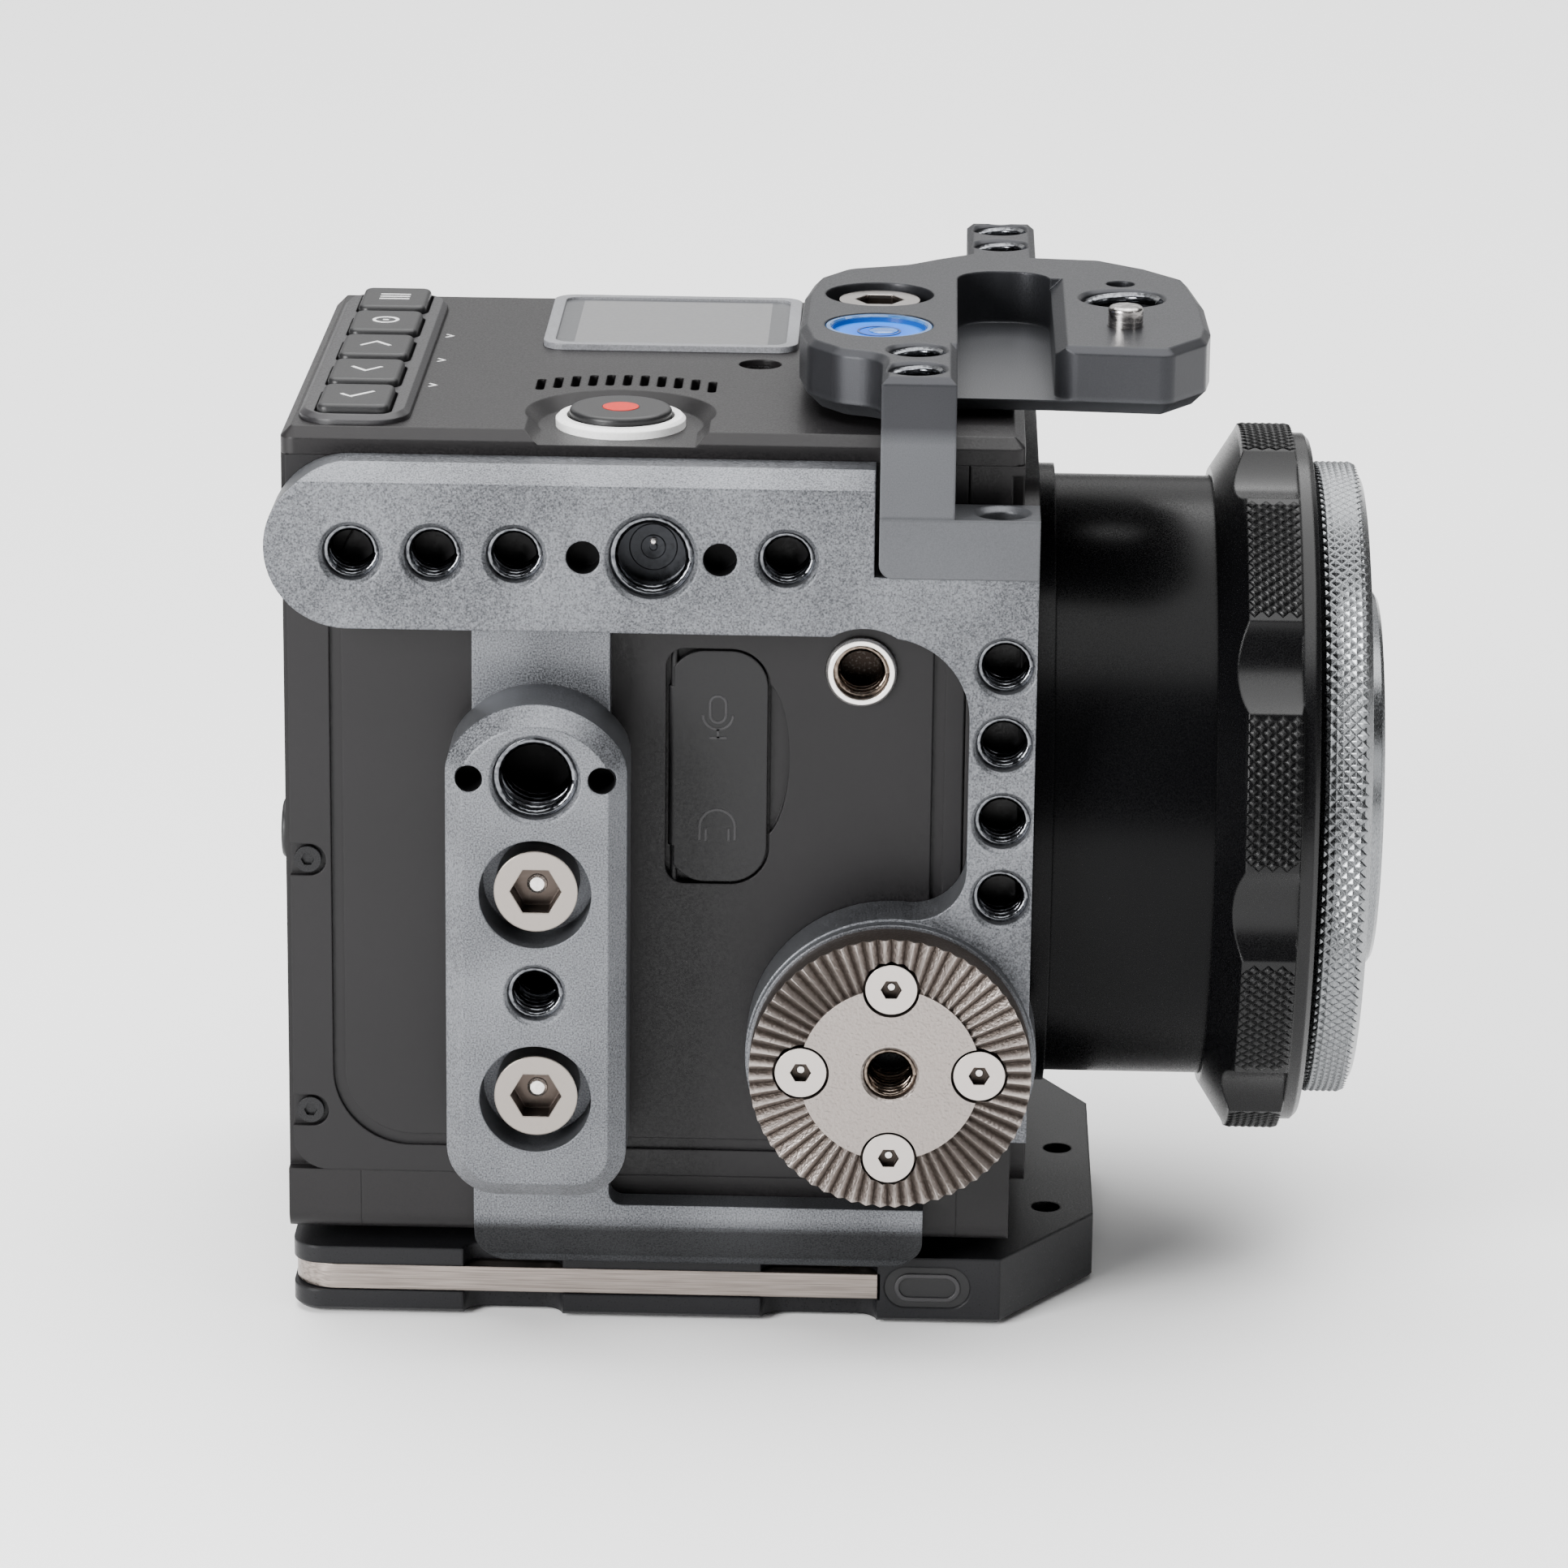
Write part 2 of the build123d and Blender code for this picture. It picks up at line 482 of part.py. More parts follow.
with BuildPart() as image_sensor:
    block(21.6, 23.4, -12.5, 12.5, LENS_Z - 9.5, LENS_Z + 9.5)
save(image_sensor.part, "image_sensor")

with BuildPart() as sensor_filter_glass:
    block(23.4, 24.9, -13.0, 13.0, LENS_Z - 10.0, LENS_Z + 10.0)
save(sensor_filter_glass.part, "sensor_filter_glass")

with BuildPart() as battery_contact_block:
    block(BODY_REAR + 2.6, BODY_REAR + 5.0, -9.0, 9.0, 56.0, 64.0)
    with BuildSketch(Plane.YZ.offset(BODY_REAR + 2.6)):
        with Locations((0, 60)):
            with GridLocations(3.6, 0, 4, 1):
                Rectangle(1.2, 5.0)
    extrude(amount=1.2, mode=Mode.SUBTRACT)
save(battery_contact_block.part, "battery_contact_block")

with BuildPart() as battery_release_button:
    bore_x(-26.6, 57.0, BODY_REAR - 0.9, BODY_REAR + 2.8, 3.4, Mode.ADD)
    fillet(battery_release_button.edges().sort_by(Axis.X)[0], 0.4)
    bore_x(-26.6, 57.0, BODY_REAR + 2.1, BODY_REAR + 2.8, 4.3, Mode.ADD)
save(battery_release_button.part, "battery_release_button")

# ==== lens mount ==================================================================================
flange_x = BODY_FRONT + 1.8
tube_x = flange_x + 2.2
with BuildPart() as mount_flange:
    with BuildSketch(lens_plane(flange_x)):
        Circle(FLANGE_R)
        Circle(THROAT_R, mode=Mode.SUBTRACT)
    extrude(amount=2.2)
    with Locations(lens_plane(tube_x)):
        with PolarLocations(FLANGE_SCREW_R, 4, start_angle=45):
            CounterBoreHole(1.3, 2.6, 1.2)
save(mount_flange.part, "mount_flange")

with BuildPart() as mount_flange_screws:
    for quarter in range(4):
        angle = math.radians(45 + 90 * quarter)
        screw_y = FLANGE_SCREW_R * math.cos(angle)
        screw_z = LENS_Z + FLANGE_SCREW_R * math.sin(angle)
        bore_x(screw_y, screw_z, tube_x - 1.2, tube_x, 2.6, Mode.ADD)
        bore_x(screw_y, screw_z, tube_x - 7.2, tube_x - 1.2, 1.3, Mode.ADD)
        bore_x(screw_y, screw_z, tube_x - 0.7, tube_x + 1, 1.0)
save(mount_flange_screws.part, "mount_flange_screws")

with BuildPart() as adapter_tube:
    with BuildSketch(Plane.XY):
        with BuildLine():
            Polyline((tube_x, TUBE_R - TUBE_WALL), (tube_x, TUBE_R), (66.0, TUBE_R), (66.0, TUBE_R + 0.9),
                     (67.5, TUBE_R + 0.9), (67.5, TUBE_R), (CAP_X0, TUBE_R), (CAP_X0, CAP_BORE_R),
                     (64.0, CAP_BORE_R), (62.0, TUBE_R - TUBE_WALL), close=True)
        make_face()
    revolve(axis=Axis.X)
adapter_solid = adapter_tube.part.moved(Location((0, 0, LENS_Z)))
save(adapter_solid, "adapter_tube")

with BuildPart() as lock_ring:
    with BuildSketch(Plane.XY):
        with BuildLine():
            Polyline((RING_X0, TUBE_R + FIT_GAP), (RING_X0, TUBE_R + 1.0), (RING_X0 + 2.9, RING_R - 0.6),
                     (RING_X0 + 3.2, RING_R), (RING_X1 - 2.2, RING_R), (RING_X1 - 2.0, RING_R - 0.9),
                     (RING_X1 - 0.6, RING_R - 0.9), (RING_X1, RING_R - 1.5), (RING_X1, TUBE_R + FIT_GAP),
                     (67.8, TUBE_R + FIT_GAP), (67.8, TUBE_R + 1.2), (65.7, TUBE_R + 1.2),
                     (65.7, TUBE_R + FIT_GAP), close=True)
        make_face()
    revolve(axis=Axis.X)
    for index in range(SCALLOPS):
        # phase measured from -Y towards +Z
        angle = math.radians(SCALLOP_PHASE + 360.0 / SCALLOPS * index)
        distance = RING_R + 8.0
        with Locations(((RING_X0 + RING_X1) / 2 - 2.0, -distance * math.cos(angle), distance * math.sin(angle))):
            Cylinder(10.0, RING_X1 - RING_X0, rotation=(0, 90, 0), mode=Mode.SUBTRACT)
ring_solid = lock_ring.part.moved(Location((0, 0, LENS_Z)))
save(ring_solid, "lock_ring")

with BuildPart() as body_cap:
    with BuildSketch(Plane.XY):
        with BuildLine():
            Polyline((66.4, 0), (66.4, CAP_BORE_R - FIT_GAP - 0.4), (66.8, CAP_BORE_R - FIT_GAP),
                     (CAP_X0, CAP_BORE_R - FIT_GAP), (CAP_X0, CAP_R - 0.5), (CAP_X0 + 0.5, CAP_R),
                     (CAP_X1 - 0.9, CAP_R), (CAP_X1, CAP_R - 1.4), (CAP_X1 + 0.9, HUB_R + 0.5),
                     (HUB_X1 - 0.4, HUB_R), (HUB_X1, HUB_R - 0.6), (HUB_X1, 0), close=True)
        make_face()
    revolve(axis=Axis.X)
    with BuildSketch(Plane.YZ.offset(HUB_X1)):
        Circle(HUB_R - 5)
        Rectangle(7, 2 * HUB_R, mode=Mode.SUBTRACT)
    extrude(amount=-3.0, mode=Mode.SUBTRACT)
cap_solid = body_cap.part.moved(Location((0, 0, LENS_Z)))
save(cap_solid, "body_cap")

# ==== cage ========================================================================================
with BuildPart() as cage_side_frame:
    rail_depth = CAGE_IN - CAGE_OUT
    with BuildSketch(side_plane(CAGE_IN)):
        rail_half = (RAIL_Z1 - RAIL_Z0) / 2
        with Locations((RAIL_X0 + rail_half, (RAIL_Z0 + RAIL_Z1) / 2)):
            Circle(rail_half)
        with Locations(((RAIL_X0 + rail_half + RAIL_X1) / 2, (RAIL_Z0 + RAIL_Z1) / 2)):
            Rectangle(RAIL_X1 - RAIL_X0 - rail_half, RAIL_Z1 - RAIL_Z0)
        with Locations(((RAIL_X1 + COLUMN_X1) / 2 - 1, (RAIL_Z0 - 14 + FOOT_Z0) / 2)):
            Rectangle(COLUMN_X1 - RAIL_X1 + 2, FOOT_Z0 - RAIL_Z0 + 14)
        with Locations(((COLUMN_X0 + COLUMN_X1) / 2, (ROSETTE_Z + FOOT_Z0) / 2)):
            Rectangle(COLUMN_X1 - COLUMN_X0, FOOT_Z0 - ROSETTE_Z)
        with Locations((ROSETTE_X, ROSETTE_Z)):
            Circle(BOSS_R)
        # opening: rounded inner corner next to the column
        with Locations((COLUMN_X0 - 22.5, RAIL_Z0 - 22.5)):
            RectangleRounded(45, 45, 9.5, mode=Mode.SUBTRACT)
        with Locations((INSERT_X + 0.3, INSERT_Z)):
            Circle(6.9, mode=Mode.SUBTRACT)
    extrude(amount=rail_depth)
    with BuildSketch(side_plane(CAGE_IN)):
        with Locations((ROSETTE_X, ROSETTE_Z)):
            Circle(BOSS_R)
        with Locations(((ROSETTE_X + COLUMN_X1) / 2, ROSETTE_Z + 6)):
            Rectangle(COLUMN_X1 - ROSETTE_X, 32)
        # round inner corner where the column runs into the boss
        reach = BOSS_R + 6.0
        corner_z = ROSETTE_Z + math.sqrt(reach ** 2 - (COLUMN_X0 - 6.0 - ROSETTE_X) ** 2)
        with Locations((COLUMN_X0 - 6.0, corner_z)):
            Circle(6.0, mode=Mode.SUBTRACT)
        with Locations((COLUMN_X0 - 26.0, corner_z + 2)):
            Rectangle(40.0, 2 * (corner_z + 2 - ROSETTE_Z - BOSS_R), mode=Mode.SUBTRACT)
        with Locations((ROSETTE_X, ROSETTE_Z)):
            Circle(BOSS_R)
    extrude(amount=rail_depth)
    with BuildSketch(side_plane(CAGE_IN)):
        with Locations(((STRAP_X0 + STRAP_X1) / 2, (13.0 + RAIL_Z0 + 4) / 2)):
            RectangleRounded(STRAP_X1 - STRAP_X0, RAIL_Z0 + 4 - 13.0, 5)
        with Locations(((STRAP_X0 + SILL_X1) / 2, FLOOR_Z0 + 7.0)):
            RectangleRounded(SILL_X1 - STRAP_X0, 14.0, 3.6)
        with Locations(((STRAP_X1 + SILL_X1 + 4) / 2, SILL_Z1 + 5.0)):
            RectangleRounded(SILL_X1 + 4 - STRAP_X1, 10.0, 1.6, mode=Mode.SUBTRACT)
        with Locations((ROSETTE_X, ROSETTE_Z)):
            Circle(BOSS_R)
    extrude(amount=CAGE_IN - STRAP_FACE)
    with BuildSketch(side_plane(CAGE_OUT)):
        with Locations((ROSETTE_X, ROSETTE_Z)):
            Circle(ROSETTE_R + 0.4)
    extrude(amount=CAGE_OUT - BOSS_FACE)
    # floor under the camera
    block(-20.0, 24.4, CAGE_IN - 1, -24.0, FLOOR_Z0, BODY_FLOOR)
    block(-20.0, SILL_X1 + 3, -24.0, 26.0, FLOOR_Z0, BODY_FLOOR)
    # bevels: rail top, rail end, sill
    with BuildSketch(Plane.YZ.offset(RAIL_X0 - 1)):
        with BuildLine():
            Polyline((CAGE_OUT - 1, RAIL_Z1 - 2.0), (CAGE_OUT, RAIL_Z1 - 1.7), (CAGE_OUT + 3.1, RAIL_Z1),
                     (CAGE_OUT + 3.1, RAIL_Z1 + 1), (CAGE_OUT - 1, RAIL_Z1 + 1), close=True)
        make_face()
    extrude(amount=RAIL_X1 - RAIL_X0 + 2, mode=Mode.SUBTRACT)
    with BuildSketch(Plane.YZ.offset(-30)):
        with BuildLine():
            Polyline((STRAP_FACE - 1, SILL_BEVEL_Z), (STRAP_FACE, SILL_BEVEL_Z), (STRAP_FACE + 2.6, FLOOR_Z0 + 0.8),
                     (STRAP_FACE + 2.6, FLOOR_Z0 - 1), (STRAP_FACE - 1, FLOOR_Z0 - 1), close=True)
        make_face()
    extrude(amount=70, mode=Mode.SUBTRACT)
    # threads and locating holes of the rail
    for step in range(3):
        hole_x = RAIL_BIG_X - 15.2 - HOLE_PITCH * step
        bore_y(hole_x, RAIL_HOLE_Z, CAGE_OUT - 1, CAGE_IN + 1, QUARTER_R)
        mouth_y(hole_x, RAIL_HOLE_Z, CAGE_OUT, QUARTER_R)
    bore_y(RAIL_BIG_X + 15.0, RAIL_HOLE_Z, CAGE_OUT - 1, CAGE_IN + 1, QUARTER_R)
    mouth_y(RAIL_BIG_X + 15.0, RAIL_HOLE_Z, CAGE_OUT, QUARTER_R)
    for locator_x in (RAIL_BIG_X - LOCATOR_OFFSET, RAIL_BIG_X + LOCATOR_OFFSET):
        bore_y(locator_x, RAIL_HOLE_Z, CAGE_OUT - 1, CAGE_OUT + 3.5, LOCATOR_R)
    bore_y(RAIL_BIG_X, RAIL_HOLE_Z, CAGE_OUT - 1, CAGE_OUT + 5.4, THREE_EIGHTS_R)
    mouth_y(RAIL_BIG_X, RAIL_HOLE_Z, CAGE_OUT, THREE_EIGHTS_R)
    for step in range(4):
        hole_z = COLUMN_TOP_HOLE_Z - 9.0 * step
        bore_y(COLUMN_HOLE_X, hole_z, CAGE_OUT - 1, CAGE_IN + 1, QUARTER_R)
        mouth_y(COLUMN_HOLE_X, hole_z, CAGE_OUT, QUARTER_R, 0.4)
    # seats of the bolted-on parts
    for screw_z in BAR_SCREW_Z:
        bore_y(BAR_X, screw_z, STRAP_FACE - 1, CAGE_IN + 1, QUARTER_R)
    bore_y(ROSETTE_X, ROSETTE_Z, BOSS_FACE - 1, BOSS_FACE + 6.0, M6_R)
    for quarter in range(4):
        angle = math.radians(90 * quarter)
        bore_y(ROSETTE_X + ROSETTE_SCREW_CIRCLE * math.cos(angle),
               ROSETTE_Z + ROSETTE_SCREW_CIRCLE * math.sin(angle), BOSS_FACE - 1, BOSS_FACE + 4.0, 1.5)
    for screw_x in (-12.0, 26.0):
        bore_z(screw_x, 14.0, FLOOR_Z0 - 1, BODY_FLOOR + 1, 2.0)
save(cage_side_frame.part, "cage_side_frame")

with BuildSketch(side_plane(STRAP_FACE)) as bar_outline:
    arch_z = BAR_Z1 - BAR_ARCH_R
    side_z = arch_z + math.sqrt(BAR_ARCH_R ** 2 - (BAR_WIDTH / 2) ** 2)
    with BuildLine():
        ThreePointArc((BAR_X + BAR_WIDTH / 2, side_z), (BAR_X, BAR_Z1), (BAR_X - BAR_WIDTH / 2, side_z))
        Polyline((BAR_X - BAR_WIDTH / 2, side_z), (BAR_X - BAR_WIDTH / 2, BAR_Z0), (BAR_X + BAR_WIDTH / 2, BAR_Z0),
                 (BAR_X + BAR_WIDTH / 2, side_z))
    make_face()
    fillet(bar_outline.vertices().group_by(Axis.Z)[0], 5.8)

with BuildPart() as accessory_bar:
    extrude(bar_outline.sketch, amount=STRAP_FACE - BAR_FACE - 2.0)
    extrude(bar_outline.sketch.moved(Location((0, BAR_FACE + 2.0 - STRAP_FACE, 0))), amount=2.0, taper=45)
    bore_y(BAR_X, BAR_BIG_Z, BAR_FACE - 1, STRAP_FACE + 1, THREE_EIGHTS_R)
    mouth_y(BAR_X, BAR_BIG_Z, BAR_FACE, THREE_EIGHTS_R, 0.4)
    for locator_x in (BAR_X - 7.4, BAR_X + 7.4):
        bore_y(locator_x, BAR_BIG_Z, BAR_FACE - 1, BAR_FACE + 5.0, 1.55)
    for screw_z in BAR_SCREW_Z:
        bore_y(BAR_X, screw_z, BAR_FACE - 1, BAR_FACE + 6.0, COUNTERBORE_R)
        bore_y(BAR_X, screw_z, BAR_FACE + 5, STRAP_FACE + 1, QUARTER_R)
    bore_y(BAR_X, BAR_SMALL_Z, BAR_FACE - 1, STRAP_FACE + 1, QUARTER_R)
    mouth_y(BAR_X, BAR_SMALL_Z, BAR_FACE, QUARTER_R, 0.4)
save(accessory_bar.part, "accessory_bar")

with BuildPart() as accessory_bar_screws:
    for screw_z in BAR_SCREW_Z:
        bore_y(BAR_X, screw_z, BAR_FACE + 1.2, BAR_FACE + 6.0, HEAD_R, Mode.ADD)
        bore_y(BAR_X, screw_z, BAR_FACE + 6.0, CAGE_IN, QUARTER_R, Mode.ADD)
        with BuildSketch(side_plane(BAR_FACE + 1.2)):
            with Locations((BAR_X, screw_z)):
                RegularPolygon(HEX_AF / 2, 6, major_radius=False)
        extrude(amount=-3.0, mode=Mode.SUBTRACT)
save(accessory_bar_screws.part, "accessory_bar_screws")

with BuildPart() as rosette:
    with BuildSketch(side_plane(BOSS_FACE)):
        with Locations((ROSETTE_X, ROSETTE_Z)):
            Circle(ROSETTE_R)
    extrude(amount=BOSS_FACE - ROSETTE_FACE)
    for index in range(ROSETTE_TEETH):
        turn = Location((ROSETTE_X, ROSETTE_FACE, ROSETTE_Z), (0, 360.0 / ROSETTE_TEETH * index, 0))
        with Locations(turn):
            with Locations(Location(((ROSETTE_INNER_R + ROSETTE_R + 1) / 2, 0, 0), (45, 0, 0))):
                Box(ROSETTE_R + 1 - ROSETTE_INNER_R, 1.05, 1.05, mode=Mode.SUBTRACT)
    bore_y(ROSETTE_X, ROSETTE_Z, ROSETTE_FACE - 1, BOSS_FACE + 1, M6_R)
    mouth_y(ROSETTE_X, ROSETTE_Z, ROSETTE_FACE, M6_R, 0.3)
    for quarter in range(4):
        angle = math.radians(90 * quarter)
        screw_x = ROSETTE_X + ROSETTE_SCREW_CIRCLE * math.cos(angle)
        screw_z = ROSETTE_Z + ROSETTE_SCREW_CIRCLE * math.sin(angle)
        bore_y(screw_x, screw_z, ROSETTE_FACE - 1, ROSETTE_FACE + 2.2, 3.2)
        bore_y(screw_x, screw_z, ROSETTE_FACE, BOSS_FACE + 1, 1.5)
save(rosette.part, "rosette")

with BuildPart() as rosette_screws:
    for quarter in range(4):
        angle = math.radians(90 * quarter)
        screw_x = ROSETTE_X + ROSETTE_SCREW_CIRCLE * math.cos(angle)
        screw_z = ROSETTE_Z + ROSETTE_SCREW_CIRCLE * math.sin(angle)
        bore_y(screw_x, screw_z, ROSETTE_FACE + 0.2, ROSETTE_FACE + 2.2, 2.9, Mode.ADD)
        bore_y(screw_x, screw_z, ROSETTE_FACE + 2.2, BOSS_FACE + 4.0, 1.5, Mode.ADD)
        with BuildSketch(side_plane(ROSETTE_FACE + 0.2)):
            with Locations((screw_x, screw_z)):
                RegularPolygon(1.2, 6)
        extrude(amount=-1.2, mode=Mode.SUBTRACT)
save(rosette_screws.part, "rosette_screws")

# ==== top plate ===================================================================================
with BuildPart() as top_plate:
    with BuildSketch(Plane.XY.offset(PLATE_Z0)) as plate_outline:
        with BuildLine():
            Polyline((13.6, -24.0), (12.5, -16.0), (12.7, 0), (13.8, 8.6), (17.2, 14.2), (24.2, 17.0),
                     (28.0, 20.6), (31.6, 23.4), (31.6, 41.5), (39.8, 41.5), (39.8, 22.0), (47.4, 21.2),
                     (53.0, 16.5), (57.4, 10.7), (58.9, -2.0), (59.2, -15.0), (58.6, -20.0), (54.2, -26.4),
                     (41.0, -25.4), (30.4, -25.2), (30.4, -42.0), (22.1, -42.0), (22.1, -30.5),
                     (17.0, -28.6), close=True)
        make_face()
        lobe = [v for v in plate_outline.vertices() if v.X < 29 and -32 < v.Y < 22]
        fillet(lobe, 4.0)
        pad = [v for v in plate_outline.vertices() if v.X > 45]
        fillet(pad, 2.0)
    extrude(amount=PLATE_Z1 - PLATE_Z0)
    chamfer(top_plate.faces().sort_by(Axis.Z)[-1].outer_wire().edges(), 0.8)
    chamfer(top_plate.faces().sort_by(Axis.Z)[0].outer_wire().edges(), 1.6)
    # near arm down the side of the camera, ending in a foot on the cage
    block(22.1, 30.4, -42.0, CAGE_IN, FOOT_Z1, PLATE_Z0 + 2.4)
    block(22.1, COLUMN_X1, -42.2, CAGE_IN, FOOT_Z0, FOOT_Z1)
    foot_corner = [e for e in top_plate.edges().filter_by(Axis.Y)
                   if abs(e.center().X - 22.1) < 0.01 and abs(e.center().Z - FOOT_Z0) < 0.01]
    fillet(foot_corner, 1.6)
    # pocket between the arm and the front pad
    with BuildSketch(Plane.XY.offset(PLATE_Z1)):
        with Locations(((30.4 + 41.4) / 2, -14.0)):
            Rectangle(11.0, 40)
        with Locations(((30.4 + 41.4) / 2, 6.0)):
            RectangleRounded(11.0, 15.0, 4.5)
    extrude(amount=-6.2, mode=Mode.SUBTRACT)
    with BuildSketch(Plane(origin=(0, -30, 0), x_dir=(1, 0, 0), z_dir=(0, -1, 0))):
        with BuildLine():
            Polyline((40.9, PLATE_Z1 + 0.5), (43.3, PLATE_Z1 + 0.5), (40.9, PLATE_Z1 - 1.9), close=True)
        make_face()
    extrude(amount=-40.0, mode=Mode.SUBTRACT)
    # round the pad where the pocket opens to the near side
    with BuildSketch(Plane.XY.offset(PLATE_Z1 + 1)):
        with Locations((41.0 + 1.7, -22.66 - 2.2)):
            Rectangle(3.4, 4.4)
        with Locations((44.4, -22.66)):
            Circle(3.0, mode=Mode.SUBTRACT)
    extrude(amount=-7.2, mode=Mode.SUBTRACT)
    bore_z(PLATE_SCREW_X, 0, BODY_TOP, PLATE_Z0 + 1, 7.0, Mode.ADD)
    bore_z(PLATE_SCREW_X, 0, PLATE_Z1 - 5.4, PLATE_Z1 + 1, COUNTERBORE_R)
    bore_z(PLATE_SCREW_X, 0, BODY_TOP - 1, PLATE_Z1, QUARTER_R)
    bore_z(LEVEL_X, LEVEL_Y, PLATE_Z1 - 6.4, PLATE_Z1 + 1, LEVEL_R)
    bore_z(PAD_X, 0, PLATE_Z0 - 1, PLATE_Z1 + 1, THREE_EIGHTS_R)
    mouth_z(PAD_X, 0, PLATE_Z1, THREE_EIGHTS_R, 0.4)
    for locator_y in (-LOCATOR_OFFSET, LOCATOR_OFFSET):
        bore_z(PAD_X, locator_y, PLATE_Z1 - 4.0, PLATE_Z1 + 1, 1.7)
    bore_z(PAD_X, PIN_Y, PLATE_Z1 - 5.0, PLATE_Z1 + 1, 2.0)
    for arm_x, sign in ((NEAR_ARM_X, -1), (FAR_ARM_X, 1)):
        for arm_y in (ARM_HOLE_Y, ARM_HOLE_Y + HOLE_PITCH):
            bore_z(arm_x, sign * arm_y, PLATE_Z0 - 1, PLATE_Z1 + 1, QUARTER_R)
            mouth_z(arm_x, sign * arm_y, PLATE_Z1, QUARTER_R, 0.4)
    bore_z(FOOT_HOLE_X, FOOT_HOLE_Y, FOOT_Z0 - 1, FOOT_Z1 + 1, 2.6)
    mouth_z(FOOT_HOLE_X, FOOT_HOLE_Y, FOOT_Z1, 2.6, 0.6)
save(top_plate.part, "top_plate")

with BuildPart() as top_plate_screw:
    bore_z(PLATE_SCREW_X, 0, PLATE_Z1 - 5.4, PLATE_Z1 - 0.6, HEAD_R, Mode.ADD)
    bore_z(PLATE_SCREW_X, 0, COVER_BASE - 4.5, PLATE_Z1 - 5.4, QUARTER_R, Mode.ADD)
    with BuildSketch(Plane.XY.offset(PLATE_Z1 - 0.6)):
        with Locations((PLATE_SCREW_X, 0)):
            RegularPolygon(HEX_AF / 2, 6, major_radius=False)
    extrude(amount=-3.0, mode=Mode.SUBTRACT)
save(top_plate_screw.part, "top_plate_screw")

with BuildPart() as bubble_level:
    bore_z(LEVEL_X, LEVEL_Y, PLATE_Z1 - 6.4, PLATE_Z1 - 0.2, LEVEL_R, Mode.ADD)
save(bubble_level.part, "bubble_level")

with BuildPart() as locating_pin:
    bore_z(PAD_X, PIN_Y, PLATE_Z1 - 5.0, PLATE_Z1 + 2.4, 2.0, Mode.ADD)
    fillet(locating_pin.edges().group_by(Axis.Z)[-1], 0.5)
save(locating_pin.part, "locating_pin")

# ==== base ========================================================================================
key_gap = 0.15
with BuildPart() as base_plate:
    with BuildSketch(Plane.XY):
        with BuildLine():
            Polyline((BASE_X0, -BASE_HALF), (37.4, -BASE_HALF), (BASE_X1, -17.5), (BASE_X1, 20.5),
                     (42.5, 31.0), (38.0, BASE_HALF), (BASE_X0, BASE_HALF), close=True)
        make_face()
    extrude(amount=BASE_TOP)
    fillet(base_plate.edges().filter_by(Axis.Z).group_by(Axis.X)[0], 3.5)
    chamfer(base_plate.faces().sort_by(Axis.Z)[0].outer_wire().edges(), 0.5)
    # slot of the stowed key, open along the near and rear edges
    block(BASE_X0 - 1, KEY_END_X + MOVE_GAP, -BASE_HALF - 1, -BASE_HALF + SLOT_DEPTH, SLOT_Z0, SLOT_Z1, Mode.SUBTRACT)
    block(BASE_X0 - 1, BASE_X0 + SLOT_DEPTH, -BASE_HALF - 1, KEY_END_Y + MOVE_GAP, SLOT_Z0, SLOT_Z1, Mode.SUBTRACT)
    # finger notches in both lips
    for notch_x, notch_length in ((-19.2, 11.6), (16.4, 13.6)):
        with BuildSketch(Plane.XY):
            with Locations((notch_x, -BASE_HALF)):
                SlotOverall(notch_length, 5.0)
        extrude(amount=BASE_TOP, mode=Mode.SUBTRACT)
    with BuildSketch(side_plane(-BASE_HALF)):
        with Locations((RETAINER_X, RETAINER_Z)):
            SlotOverall(10.0, 5.0)
    extrude(amount=-4.0, mode=Mode.SUBTRACT)
    bore_z(0, 0, -1, TRIPOD_TOP, TRIPOD_R)
    for screw_x in (-12.0, 26.0):
        bore_z(screw_x, 14.0, -1, BASE_TOP + 1, 2.0)
        bore_z(screw_x, 14.0, -1, 2.6, 4.2)
    for magnet_x in (-33.0, 3.0):
        bore_y(magnet_x, (SLOT_Z0 + SLOT_Z1) / 2, -BASE_HALF + SLOT_DEPTH - 1, -BASE_HALF + SLOT_DEPTH + 2.0, 1.5)
    for front_x, front_y in ((44.6, 4.4), (42.9, -15.6)):
        bore_z(front_x, front_y, -1, BASE_TOP + 1, 1.7)
save(base_plate.part, "base_plate")

with BuildPart() as tripod_insert:
    bore_z(0, 0, 0, TRIPOD_TOP, TRIPOD_R, Mode.ADD)
    bore_z(0, 0, -1, TRIPOD_TOP - 1.0, QUARTER_R)
save(tripod_insert.part, "tripod_insert")

with BuildPart() as base_screws:
    for screw_x in (-12.0, 26.0):
        bore_z(screw_x, 14.0, 0.4, 2.6, 4.2, Mode.ADD)
        bore_z(screw_x, 14.0, 2.6, BODY_FLOOR, 2.0, Mode.ADD)
        with BuildSketch(Plane.XY.offset(0.4)):
            with Locations((screw_x, 14.0)):
                RegularPolygon(1.6, 6)
        extrude(amount=1.6, mode=Mode.SUBTRACT)
save(base_screws.part, "base_screws")

